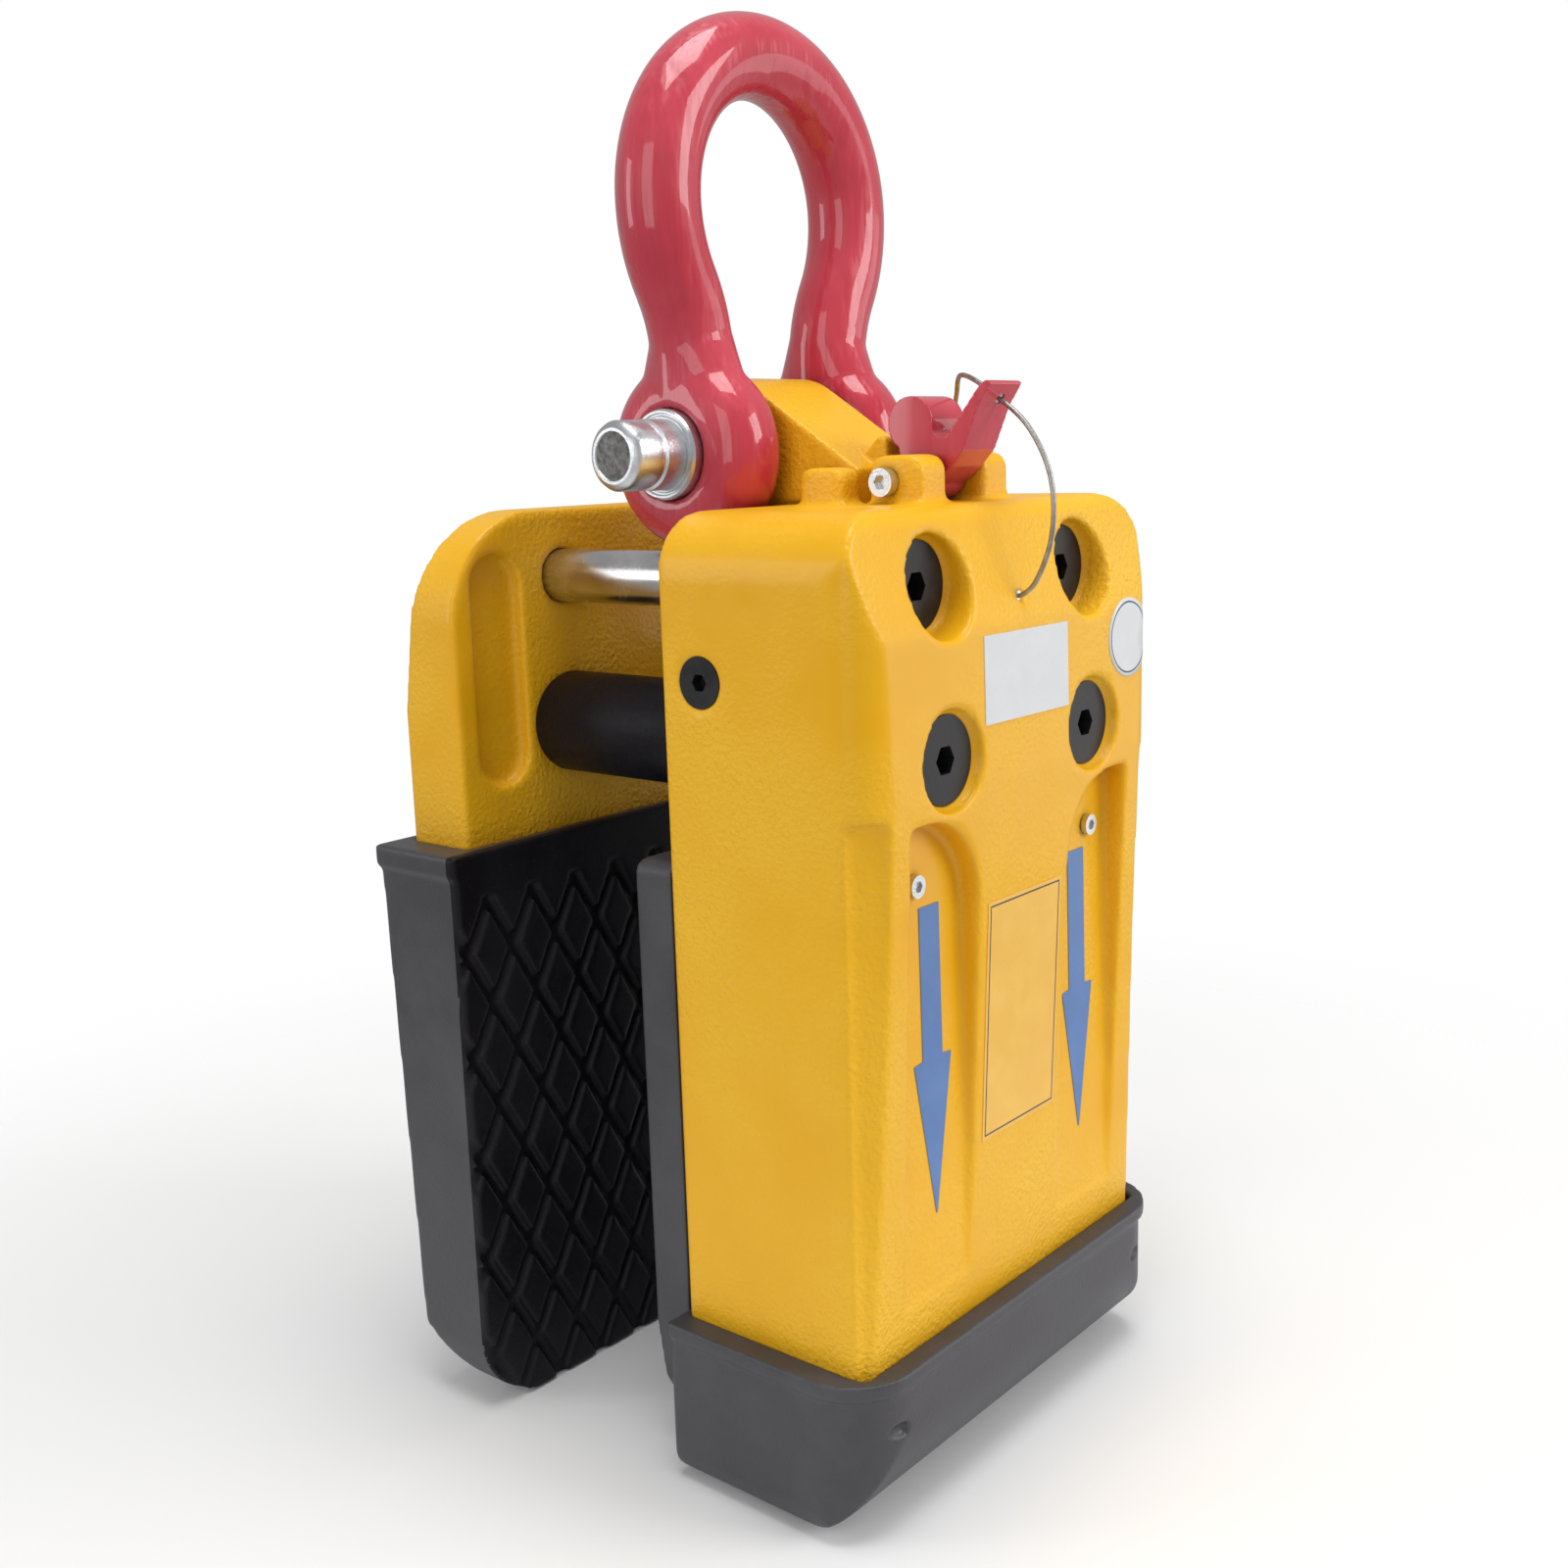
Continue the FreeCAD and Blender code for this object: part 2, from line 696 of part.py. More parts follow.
def front_tie_screws():
    shapes = []
    for x, z in rods:
        shapes.append(countersunk_screw(tie_head_dia, tie_head_rim, tie_shank_dia, tie_length,
                                        tie_socket, x, front_seat_y(z), z))
    return group(shapes)


def rear_tie_screws():
    screw = countersunk_screw(tie_head_dia, tie_head_rim, tie_shank_dia, tie_length, tie_socket, 0.0, 0.0, 0.0)
    return group([turned_to_back(screw, x, rear_seat_y(z), z) for x, z in rods])


def tube_along_y(outer, inner, y0, y1, x, z):
    return rod_along_y(outer / 2, y0, y1, x, z).cut(rod_along_y(inner / 2, y0 - over, y1 + over, x, z))


def nylon_washers():
    return group([tube_along_y(washer_dia, rod_dia + 2 * run_gap, 0.0, washer_thick, s * rod_x, -rod_lower_drop)
                  for s in (-1, 1)])


def buffer_sleeves():
    return group([tube_along_y(buffer_dia, rod_dia + 2 * run_gap, washer_thick, rear_in,
                               s * rod_x, -rod_lower_drop) for s in (-1, 1)])


def side_screws():
    screw = countersunk_screw(side_head_dia, tie_head_rim, side_shank_dia, side_length, side_socket, 0.0, 0.0, 0.0)
    return group(both_sides(turned_to_x(screw, -half + side_recess, -stop_y, -stop_drop)))


def stop_shaft():
    reach = half - body_wall
    shaft = rod_along_x(stop_dia / 2, -reach, reach, -stop_y, -stop_drop)
    bore = rod_along_x(side_shank_dia / 2 + run_gap, -half, -half + side_recess + side_length + side_gap,
                       -stop_y, -stop_drop)
    return cut(shaft, both_sides(bore))


def guide_plate():
    plate = box(-guide_half, guide_half, -guide_front, -guide_back, -guide_bottom, -guide_top)
    tools = [box(-guide_window, guide_window, -guide_front - over, over, -guide_window_bottom, -guide_top + over)]
    for x, z in guide_pin_places():
        tools.append(rod_along_y(guide_pin_dia / 2 + bush_wall, -guide_front - over, over, x, z))
    for drop in guide_screw_drops:
        for sign in (-1, 1):
            tools.append(rod_along_y(guide_screw_dia / 2 + run_gap, -guide_front - over, over,
                                     sign * guide_pin_x, -drop))
            tools.append(rod_along_y(guide_screw_head / 2 + run_gap, -guide_back - guide_screw_head_high, over,
                                     sign * guide_pin_x, -drop))
    return cut(plate, tools)


def guide_pin_places():
    return [(s * guide_pin_x, -drop) for s in (-1, 1) for drop in (guide_pin_upper, guide_pin_lower)]


def guide_bushes():
    return group([tube_along_y(guide_pin_dia + 2 * bush_wall, guide_pin_dia + 2 * run_gap,
                               -guide_front, -guide_back, x, z) for x, z in guide_pin_places()])


def guide_plate_screws():
    screw = socket_screw(guide_screw_head, guide_screw_head_high, guide_screw_dia,
                         guide_front - guide_back - guide_screw_head_high + guide_screw_grip,
                         guide_screw_socket, 0.0, 0.0, 0.0)
    shapes = []
    for drop in guide_screw_drops:
        for sign in (-1, 1):
            shapes.append(turned_to_back(screw, sign * guide_pin_x, -guide_back - guide_screw_head_high, -drop))
    return group(shapes)


def wear_blocks():
    shapes = []
    for top, bottom in (block_upper, block_lower):
        back = -bar_shank_front - block_back_gap
        shapes.append(box(-bar_half + side_gap, bar_half - side_gap, back - block_thick, back, -bottom, -top))
    return group(shapes)


def cam_slot(pin_drop):
    # path of a roller in the jaw's own frame: up and forward
    radius = roller_dia / 2 + run_gap
    x0, x1 = cheek_inner - over, cheek_inner + cheek_thick + over
    start = Vector(x0, -cam_pin_y, -pin_drop)
    end = Vector(x0, -cam_pin_y - jaw_travel, -pin_drop + lift_travel)
    along = (end - start).normalize()
    across = Vector(0, -along.z, along.y) * radius
    face = Part.Face(Part.makePolygon([start + across, end + across, end - across, start - across, start + across]))
    run = face.extrude(Vector(x1 - x0, 0, 0))
    return fused([run, rod_along_x(radius, x0, x1, start.y, start.z), rod_along_x(radius, x0, x1, end.y, end.z)])


def cheek_band(pin_drop):
    # the wall round one slot, tied back to the jaw plate
    radius = roller_dia / 2 + cheek_edge
    x0, x1 = cheek_inner, cheek_inner + cheek_thick
    start = Vector(x0, -cam_pin_y, -pin_drop)
    end = Vector(x0, -cam_pin_y - jaw_travel, -pin_drop + lift_travel)
    along = (end - start).normalize()
    across = Vector(0, -along.z, along.y) * radius
    corners = [start + across, end + across, end - across, start - across, start + across]
    run = Part.Face(Part.makePolygon(corners)).extrude(Vector(x1 - x0, 0, 0))
    root = box(x0, x1, -cam_pin_y - radius, jaw_gap, -pin_drop - radius, -pin_drop + radius)
    rib = [(jaw_gap, -pin_drop - radius, 0.0), (-cam_pin_y, -pin_drop - radius, 0.0),
           (end.y + radius, end.z, 0.0), (jaw_gap, end.z - lift_travel / 3, 0.0)]
    return fused([run, root, prism_x(rib, x0, x1), rod_along_x(radius, x0, x1, start.y, start.z),
                  rod_along_x(radius, x0, x1, end.y, end.z)])


def moving_jaw_carrier():
    plate = prism_y([(-jaw_half, -jaw_top, jaw_corner), (jaw_half, -jaw_top, jaw_corner),
                     (jaw_half, -jaw_bottom, jaw_corner), (-jaw_half, -jaw_bottom, jaw_corner)],
                    jaw_gap, jaw_gap + jaw_plate_thick)
    cheeks = []
    for drop in (cam_pin_upper, cam_pin_lower):
        cheeks += both_sides(cheek_band(drop))
    body = fused([plate] + cheeks)
    tools = []
    for drop in (cam_pin_upper, cam_pin_lower):
        tools += both_sides(cam_slot(drop))
    for x, z in guide_pin_places():
        tools.append(rod_along_y(guide_pin_dia / 4 + run_gap, jaw_gap - over, jaw_gap + jaw_plate_thick + over, x, z))
    return cut(body, tools)


def jaw_guide_pins():
    shapes = []
    for x, z in guide_pin_places():
        pin = rod_along_y(guide_pin_dia / 2, -guide_pin_end, jaw_gap, x, z)
        spigot = rod_along_y(guide_pin_dia / 4, jaw_gap, jaw_gap + jaw_plate_thick, x, z)
        shapes.append(fused([pin, spigot]))
    return group(shapes)


def moving_jaw_pad():
    wide = jaw_half + jaw_pad_lip
    top, bottom = -jaw_top + jaw_pad_lip, -jaw_bottom - jaw_pad_lip
    back = jaw_gap + soft_gap
    face_bottom = bottom + jaw_pad_chamfer
    side = [(back, top, 0.0), (back, bottom, 0.0), (jaw_face - jaw_pad_chamfer_back, bottom, back_round),
            (jaw_face, face_bottom, 0.0), (jaw_face, top, back_round)]
    front = [(-wide, top, jaw_corner), (wide, top, jaw_corner), (wide, bottom, boot_side_round),
             (-wide, bottom, boot_side_round)]
    pad = common(prism_x(side, -wide, wide), prism_y(front, back, jaw_face))
    plate = prism_y([(-jaw_half, -jaw_top, jaw_corner), (jaw_half, -jaw_top, jaw_corner),
                     (jaw_half, -jaw_bottom, jaw_corner), (-jaw_half, -jaw_bottom, jaw_corner)],
                    jaw_gap, jaw_gap + jaw_plate_thick)
    pad = pad.cut(plate)
    grooves = tread_grooves(wide - pad_face, jaw_face, top - pad_face, face_bottom, -1)
    return pad.cut(grooves)


def head_line(y):
    # height of the head's sloping top at a place in front of the eye
    slope = math.radians(head_slope)
    tangent_y = pin_y - head_radius * math.sin(slope)
    tangent_z = pin_rise + head_radius * math.cos(slope)
    return tangent_z - (tangent_y - y) * math.tan(slope)


def lifting_bar():
    shank = [(-bar_front, head_under, 0.0), (-bar_front, -bar_wide_end, brow_round),
             (-bar_shank_front, -bar_wide_end - brow_round, 0.0), (-bar_shank_front, -bar_bottom, back_round),
             (-bar_shank_back, -bar_bottom, back_round), (-bar_shank_back, -jaw_top + brow_round, 0.0),
             (jaw_face - back_round, -stop_drop - stop_dia / 2, brow_round),
             (pin_y - brow_round, -rod_upper_drop, brow_round), (pin_y, head_under, 0.0)]
    lower = prism_x(shank, -bar_half, bar_half)
    tangent_y = pin_y - head_radius * math.sin(math.radians(head_slope))
    head = [(-bar_front, head_under, 0.0), (-bar_front, head_line(-bar_front), 0.0),
            (tangent_y, head_line(tangent_y), 0.0), (pin_y, pin_rise, 0.0), (pin_y, head_under, 0.0)]
    upper = prism_x(head, -bar_head_half, bar_head_half)
    eye = rod_along_x(head_radius, -bar_head_half, bar_head_half, pin_y, pin_rise)
    eye = eye.common(box(-half, half, -half, half, head_under, half))
    hook = prism_x([(-hook_back, head_under, 0.0), (-hook_back, head_line(-hook_back), 0.0),
                    (-hook_crest, hook_top, hook_round), (-hook_front, hook_top - hook_round, hook_round),
                    (-hook_front, head_under, 0.0)], -hook_half, hook_half)
    bar = fused([lower, upper, eye, hook])
    radius = stop_dia / 2 + run_gap
    low = -stop_drop - lift_travel
    tools = [box(-bar_half - over, bar_half + over, -stop_y - radius, -stop_y + radius, low, -stop_drop),
             rod_along_x(radius, -bar_half - over, bar_half + over, -stop_y, -stop_drop),
             rod_along_x(radius, -bar_half - over, bar_half + over, -stop_y, low),
             rod_along_x(eye_bush_dia / 2 + run_gap, -half, half, pin_y, pin_rise)]
    for drop in (cam_pin_upper, cam_pin_lower):
        tools.append(rod_along_x(cam_pin_dia / 2 + run_gap, -half, half, -cam_pin_y, -drop))
    return cut(bar, tools)


def bar_bush():
    tube = rod_along_x(eye_bush_dia / 2, -bar_head_half, bar_head_half, pin_y, pin_rise)
    return tube.cut(rod_along_x(pin_dia / 2 + run_gap, -half, half, pin_y, pin_rise))


def cam_pins():
    reach = cheek_inner + cheek_thick + cheek_edge
    return group([rod_along_x(cam_pin_dia / 2, -reach, reach, -cam_pin_y, -drop)
                  for drop in (cam_pin_upper, cam_pin_lower)])


def cam_rollers():
    shapes = []
    for drop in (cam_pin_upper, cam_pin_lower):
        roller = rod_along_x(roller_dia / 2, bar_half + side_gap, cheek_inner + cheek_thick + cheek_edge / 2,
                             -cam_pin_y, -drop)
        hole = rod_along_x(cam_pin_dia / 2 + run_gap, bar_half, half, -cam_pin_y, -drop)
        shapes += both_sides(roller.cut(hole))
    return group(shapes)


def neck_web(middle):
    # the flare between the round limb and the broad eye
    rings = []
    for rise, wide, deep in zip(web_rises, web_half_widths, web_half_depths):
        ring = Part.Ellipse(Vector(0, 0, 0), wide, deep).toShape()
        ring.rotate(Vector(0, 0, 0), Vector(0, 0, 1), 90)
        ring.translate(middle + Vector(0, 0, rise))
        rings.append(Part.Wire([ring]))
    return Part.makeLoft(rings, True, False)


def shackle_bow():
    # round bar swept from eye to eye, with a straight neck, a swelling limb and a half-circle crown
    limb_x = eye_inner + eye_thick / 2
    crown_z = pin_rise + bow_reach - bow_radius
    neck_z = pin_rise + neck_length
    rise = crown_z - neck_z
    shift = bow_radius - limb_x
    bend = (rise * rise + shift * shift) / (4 * shift)
    turn = math.asin(rise / 2 / bend)
    middle = Vector(limb_x + shift / 2, pin_y, neck_z + rise / 2)
    first = Vector(limb_x + bend * (1 - math.cos(turn / 2)), pin_y, neck_z + bend * math.sin(turn / 2))
    second = Vector(bow_radius - bend * (1 - math.cos(turn / 2)), pin_y, crown_z - bend * math.sin(turn / 2))

    def flip(point):
        return Vector(-point.x, point.y, point.z)

    foot = Vector(limb_x, pin_y, pin_rise)
    neck = Vector(limb_x, pin_y, neck_z)
    shoulder = Vector(bow_radius, pin_y, crown_z)
    top = Vector(0, pin_y, pin_rise + bow_reach)
    edges = [Part.LineSegment(foot, neck).toShape(), Part.Arc(neck, first, middle).toShape(),
             Part.Arc(middle, second, shoulder).toShape(), Part.Arc(shoulder, top, flip(shoulder)).toShape(),
             Part.Arc(flip(shoulder), flip(second), flip(middle)).toShape(),
             Part.Arc(flip(middle), flip(first), flip(neck)).toShape(),
             Part.LineSegment(flip(neck), flip(foot)).toShape()]
    path = Part.Wire(edges)
    ring = Part.Wire([Part.Circle(foot, Vector(0, 0, 1), bow_dia / 2).toShape()])
    bar = path.makePipeShell([ring], True, False)
    eyes = []
    for x0 in (eye_inner, -eye_inner - eye_thick):
        eye = rod_along_x(eye_radius, x0, x0 + eye_thick, pin_y, pin_rise)
        rims = [e for e in eye.Edges if e.Length > 2 * eye_radius * math.pi * 0.9]
        eyes.append(eye.makeFillet(eye_round, rims))
    bow = fused([bar] + eyes + [neck_web(foot), neck_web(flip(foot))])
    gap = box(-eye_inner, eye_inner, pin_y - eye_radius - over, pin_y + eye_radius + over,
              pin_rise - eye_radius - over, pin_rise + neck_length / 2)
    bore = rod_along_x(eye_bush_dia / 2 + run_gap, -half, half, pin_y, pin_rise)
    return cut(bow, [gap, bore])


def shackle_bushes():
    tube = rod_along_x(eye_bush_dia / 2, eye_inner, eye_inner + eye_thick + bush_proud, pin_y, pin_rise)
    tube = tube.cut(rod_along_x(pin_dia / 2 + run_gap, 0.0, half, pin_y, pin_rise))
    return group(both_sides(tube))


def shackle_pin():
    out = eye_inner + eye_thick + bush_proud
    shaft = rod_along_x(pin_dia / 2, -eye_inner - eye_thick - pin_near_out, out, pin_y, pin_rise)
    tip = min(shaft.Edges, key=lambda e: e.CenterOfMass.x)
    shaft = shaft.makeFillet(pin_dia / 8, [tip])
    head = rod_along_x(pin_head_dia / 2, out, out + pin_head_thick, pin_y, pin_rise)
    rim = max(head.Edges, key=lambda e: e.CenterOfMass.x)
    return fused([shaft, head.makeFillet(pin_dia / 8, [rim])])


def latch_hook():
    lobe = rod_along_x(lobe_radius, -latch_half, latch_half, -lobe_y, lobe_rise)
    hub = rod_along_x(hub_radius, -latch_half, latch_half, -latch_y, latch_rise)
    front = -lobe_y - lobe_radius
    corners = [(-latch_y + hub_radius, latch_rise, 0.0), (-notch_y, lobe_rise, 0.0), (front, lobe_rise, 0.0),
               (front, valley_rise, valley_round), (-valley_y, valley_rise, valley_round),
               (-tail_back_y, tail_back_rise, hook_round), (-tail_top_y, tail_top_rise, tail_round),
               (-tail_tip_y, tail_tip_rise, tail_round), (-tail_front_y, tail_front_rise, 0.0),
               (-tail_knee_y, tail_knee_rise, lug_round), (-tail_heel_y, tail_heel_rise, lug_round),
               (-latch_y, latch_rise - hub_radius, 0.0), (-latch_y, latch_rise, 0.0)]
    body = prism_x(corners, -latch_half, latch_half)
    hook = fused([lobe, hub, body])
    bore = rod_along_x(latch_pin_dia / 2 + run_gap, -half, half, -latch_y, latch_rise)
    return cut(hook, [bore, tail_hole()])


def tail_out():
    # square to the tail's front face
    return Vector(0, -(tail_tip_rise - tail_front_rise), -(tail_tip_y - tail_front_y)).normalize()


def tail_mouth():
    # middle of the wire's hole on the tail's front face
    y = -tail_front_y - (tail_tip_y - tail_front_y) * tail_hole_share
    z = tail_front_rise + (tail_tip_rise - tail_front_rise) * tail_hole_share
    return Vector(wire_tail_x, y, z)


def tail_hole():
    return Part.makeCylinder(wire_hole_dia / 2, tail_thick * 3, tail_mouth() + tail_out() * tail_thick, -tail_out())


def face_mouth():
    # middle of the wire's hole on the housing's front
    return Vector(wire_face_x, -front_depth(wire_face_drop), -wire_face_drop)


def latch_ferrule():
    start = tail_mouth() - tail_out() * wire_inset
    return Part.makeCylinder(wire_hole_dia / 2, tail_thick - 2 * wire_inset, start, -tail_out())


def housing_ferrule():
    y = face_mouth().y + wire_inset
    return rod_along_y(wire_hole_dia / 2, y, y + ferrule_length, wire_face_x, -wire_face_drop)


# Route of the wire in front of the housing, and behind the latch's tail, chosen by hand
front_route = [(0.0, -95.0, -33.4), (0.0, -99.8, -26.0), (0.5, -103.8, -15.5), (0.5, -105.2, -3.5),
               (1.0, -103.6, 9.0), (1.5, -98.2, 20.5), (2.0, -89.8, 31.2)]
rear_route = [(3.0, -73.5, 42.0), (6.0, -65.5, 45.5), (12.0, -57.5, 47.0), (20.0, -50.5, 46.0),
              (26.5, -45.5, 39.8), (27.0, -43.0, 30.5), (20.5, -44.5, 23.5)]


def cord_tube(name, points, dia):
    # straight runs joined by tangent arcs
    edges, radii = [], []
    here = points[0]
    for a, b, c in zip(points, points[1:], points[2:]):
        back, ahead = (a - b), (c - b)
        reach = arc_share * min(back.Length, ahead.Length)
        back.normalize()
        ahead.normalize()
        inner = back.getAngle(ahead)
        radius = reach * math.tan(inner / 2)
        middle = (back + ahead).normalize()
        start, end = b + back * reach, b + ahead * reach
        top = b + middle * (radius / math.sin(inner / 2) - radius)
        edges += [Part.LineSegment(here, start).toShape(), Part.Arc(start, top, end).toShape()]
        here = end
        radii.append(round(radius, 1))
    edges.append(Part.LineSegment(here, points[-1]).toShape())
    length = sum(e.Length for e in edges)
    ring = Part.Wire([Part.Circle(points[0], points[1] - points[0], dia / 2).toShape()])
    tube = Part.Wire(edges).makePipeShell([ring], True, False)
    print(name, "radii", radii, "length", round(length, 1), "volume share",
          round(tube.Volume / (math.pi * dia ** 2 / 4 * length), 4))
    return tube


def lanyard_wire():
    start = face_mouth() + Vector(0, wire_inset - wire_gap, 0)
    end = tail_mouth() - tail_out() * (wire_inset - wire_gap)
    return cord_tube("lanyard_wire", [start] + [Vector(*p) for p in front_route] + [end], wire_dia)


def lanyard_wire_end():
    start = tail_mouth() - tail_out() * (tail_thick - wire_inset + wire_gap)
    end = Vector(latch_half - wire_inset, -wire_end_y, wire_end_rise)
    return cord_tube("lanyard_wire_end", [start] + [Vector(*p) for p in rear_route] + [end], wire_dia)


def latch_pin():
    reach = lug_inner + lug_thick
    pin = rod_along_x(latch_pin_dia / 2, -reach, reach, -latch_y, latch_rise)
    return pin.cut(rod_along_x(latch_screw_shank / 2 + run_gap, -half, -reach + latch_screw_length + side_gap,
                               -latch_y, latch_rise))


def latch_pin_screw():
    screw = socket_screw(latch_screw_head, latch_screw_high, latch_screw_shank, latch_screw_length,
                         latch_screw_socket, 0.0, 0.0, 0.0)
    return turned_to_x(screw, -lug_inner - lug_thick, -latch_y, latch_rise)


def scoop_screws():
    return group([socket_screw(small_head_dia, small_head_high, small_shank_dia, small_length,
                               small_socket, s * scoop_screw_x, scoop_seat_y, -scoop_screw_drop) for s in (-1, 1)])


shapes = {
    "housing_body": housing_body(),
    "bottom_boot": bottom_boot(),
    "rear_jaw_plate": rear_jaw_plate(),
    "rear_jaw_pad": rear_jaw_pad(),
    "upper_tie_rods": tie_rods(rod_upper_drop),
    "lower_tie_rods": tie_rods(rod_lower_drop),
    "front_tie_screws": front_tie_screws(),
    "rear_tie_screws": rear_tie_screws(),
    "nylon_washers": nylon_washers(),
    "buffer_sleeves": buffer_sleeves(),
    "side_screws": side_screws(),
    "stop_shaft": stop_shaft(),
    "guide_plate": guide_plate(),
    "guide_bushes": guide_bushes(),
    "guide_plate_screws": guide_plate_screws(),
    "wear_blocks": wear_blocks(),
    "scoop_screws": scoop_screws(),
    "moving_jaw_carrier": moving_jaw_carrier(),
    "jaw_guide_pins": jaw_guide_pins(),
    "moving_jaw_pad": moving_jaw_pad(),
    "lifting_bar": lifting_bar(),
    "bar_bush": bar_bush(),
    "cam_pins": cam_pins(),
    "cam_rollers": cam_rollers(),
    "shackle_bow": shackle_bow(),
    "shackle_bushes": shackle_bushes(),
    "shackle_pin": shackle_pin(),
    "latch_hook": latch_hook(),
    "latch_pin": latch_pin(),
    "latch_pin_screw": latch_pin_screw(),
    "latch_ferrule": latch_ferrule(),
    "housing_ferrule": housing_ferrule(),
    "lanyard_wire": lanyard_wire(),
    "lanyard_wire_end": lanyard_wire_end(),
}
cord_nodes = ("latch_ferrule", "housing_ferrule", "lanyard_wire", "lanyard_wire_end")

whole = Part.makeCompound([s for n, s in shapes.items() if n not in cord_nodes]).BoundBox
shift = Vector(-(whole.XMin + whole.XMax) / 2, -(whole.YMin + whole.YMax) / 2, -whole.ZMin)
for name, shape in shapes.items():
    shape.translate(shift)
    shape.exportStep("parts/%s.step" % name)
    print(name, len(shape.Solids), round(shape.Volume), shape.isValid())
print("shift", shift)
print("size", whole.XLength, whole.YLength, whole.ZLength)
for name, y, z in (("lift", 0.0, 0.0), ("shackle", pin_y, pin_rise), ("latch", -latch_y, latch_rise)):
    print(name, "axis", y + shift.y, z + shift.z)
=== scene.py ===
import bpy
import bmesh
import json
import math
from mathutils import Matrix, Vector


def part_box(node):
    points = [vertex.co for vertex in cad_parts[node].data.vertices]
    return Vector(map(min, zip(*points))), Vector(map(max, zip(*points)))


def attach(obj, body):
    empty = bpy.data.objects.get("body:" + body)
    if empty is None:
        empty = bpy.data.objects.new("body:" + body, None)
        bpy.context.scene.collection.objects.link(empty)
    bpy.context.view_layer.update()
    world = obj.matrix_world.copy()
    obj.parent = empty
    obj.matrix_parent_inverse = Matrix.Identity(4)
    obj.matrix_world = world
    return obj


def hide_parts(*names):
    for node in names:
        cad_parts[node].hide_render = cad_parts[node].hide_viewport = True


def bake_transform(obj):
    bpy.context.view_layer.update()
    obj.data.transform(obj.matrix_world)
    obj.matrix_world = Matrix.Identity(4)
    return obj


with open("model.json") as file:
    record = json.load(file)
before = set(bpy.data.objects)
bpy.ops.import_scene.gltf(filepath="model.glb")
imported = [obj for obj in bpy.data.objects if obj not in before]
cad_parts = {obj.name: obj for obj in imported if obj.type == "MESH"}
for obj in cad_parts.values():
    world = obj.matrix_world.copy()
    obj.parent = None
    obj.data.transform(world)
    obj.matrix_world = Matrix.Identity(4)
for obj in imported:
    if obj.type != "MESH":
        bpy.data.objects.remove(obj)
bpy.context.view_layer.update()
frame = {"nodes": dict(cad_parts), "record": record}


# Camera: the photograph was taken from the front left, a little above the middle of
# the clamp, with a short lens. Places are given from the housing's back face and top.
MM = 0.001
stop_shaft_drop = 60.0
camera_azimuth = math.radians(-49.895)
camera_pitch = math.radians(11.014)
camera_roll = math.radians(-1.795)
focal_pixels = 1758.183
image_pixels = 1600.0
sensor_width = 36.0
nearest_seen, farthest_seen = 0.01, 50.0

housing_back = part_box("housing_body")[1].y
stop_low, stop_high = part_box("stop_shaft")
housing_top = (stop_low.z + stop_high.z) / 2 + stop_shaft_drop * MM


def place(x, y, z):
    # millimetres from the housing's back face and top to metres in the frame
    return Vector((x * MM, housing_back + y * MM, housing_top + z * MM))


forward = Vector((-math.sin(camera_azimuth) * math.cos(camera_pitch),
                  math.cos(camera_azimuth) * math.cos(camera_pitch), -math.sin(camera_pitch)))
level_right = Vector((math.cos(camera_azimuth), math.sin(camera_azimuth), 0.0))
level_up = level_right.cross(forward)
right = level_right * math.cos(camera_roll) + level_up * math.sin(camera_roll)
up = level_up * math.cos(camera_roll) - level_right * math.sin(camera_roll)
camera_place = place(-548.258, -435.008, 21.391)

camera_data = bpy.data.cameras.new("photo_camera")
camera_data.sensor_width = sensor_width
camera_data.lens = focal_pixels / image_pixels * sensor_width
camera_data.clip_start, camera_data.clip_end = nearest_seen, farthest_seen
camera = bpy.data.objects.new("photo_camera", camera_data)
bpy.context.scene.collection.objects.link(camera)
camera_turn = Matrix((right, up, -forward)).transposed().to_4x4()
camera.matrix_world = Matrix.Translation(camera_place) @ camera_turn
bpy.context.scene.camera = camera


# Studio: a pale floor that fades out into a white surround, one broad lamp from the
# front right, softer ones from the left and over the top, a narrow one at the back left
# that puts the sheen on the left sides, and a low one that lightens the front's foot.
floor_grey = (0.86, 0.86, 0.86, 1.0)
plain_white = (1.0, 1.0, 1.0, 1.0)
floor_radius = 1.6
floor_sides = 96
fade_start, fade_end = 0.25, 0.75
fill_strength = 0.44


def new_material(name):
    material = bpy.data.materials.new(name)
    material.use_nodes = True
    material.node_tree.nodes.clear()
    return material, material.node_tree.nodes, material.node_tree.links


def deselect_all():
    if bpy.context.object and bpy.context.object.mode != "OBJECT":
        bpy.ops.object.mode_set(mode="OBJECT")
    bpy.ops.object.select_all(action="DESELECT")


def floor_material():
    # a matt grey card that turns clear away from the clamp
    material, nodes, links = new_material("studio_floor")
    output = nodes.new("ShaderNodeOutputMaterial")
    card = nodes.new("ShaderNodeBsdfDiffuse")
    card.inputs["Color"].default_value = floor_grey
    clear = nodes.new("ShaderNodeBsdfTransparent")
    mix = nodes.new("ShaderNodeMixShader")
    where = nodes.new("ShaderNodeTexCoord")
    distance = nodes.new("ShaderNodeVectorMath")
    distance.operation = "LENGTH"
    fade = nodes.new("ShaderNodeMapRange")
    fade.interpolation_type = "SMOOTHSTEP"
    fade.inputs["From Min"].default_value = fade_start
    fade.inputs["From Max"].default_value = fade_end
    links.new(where.outputs["Object"], distance.inputs[0])
    links.new(distance.outputs["Value"], fade.inputs["Value"])
    links.new(fade.outputs["Result"], mix.inputs["Fac"])
    links.new(card.outputs["BSDF"], mix.inputs[1])
    links.new(clear.outputs["BSDF"], mix.inputs[2])
    links.new(mix.outputs["Shader"], output.inputs["Surface"])
    return material


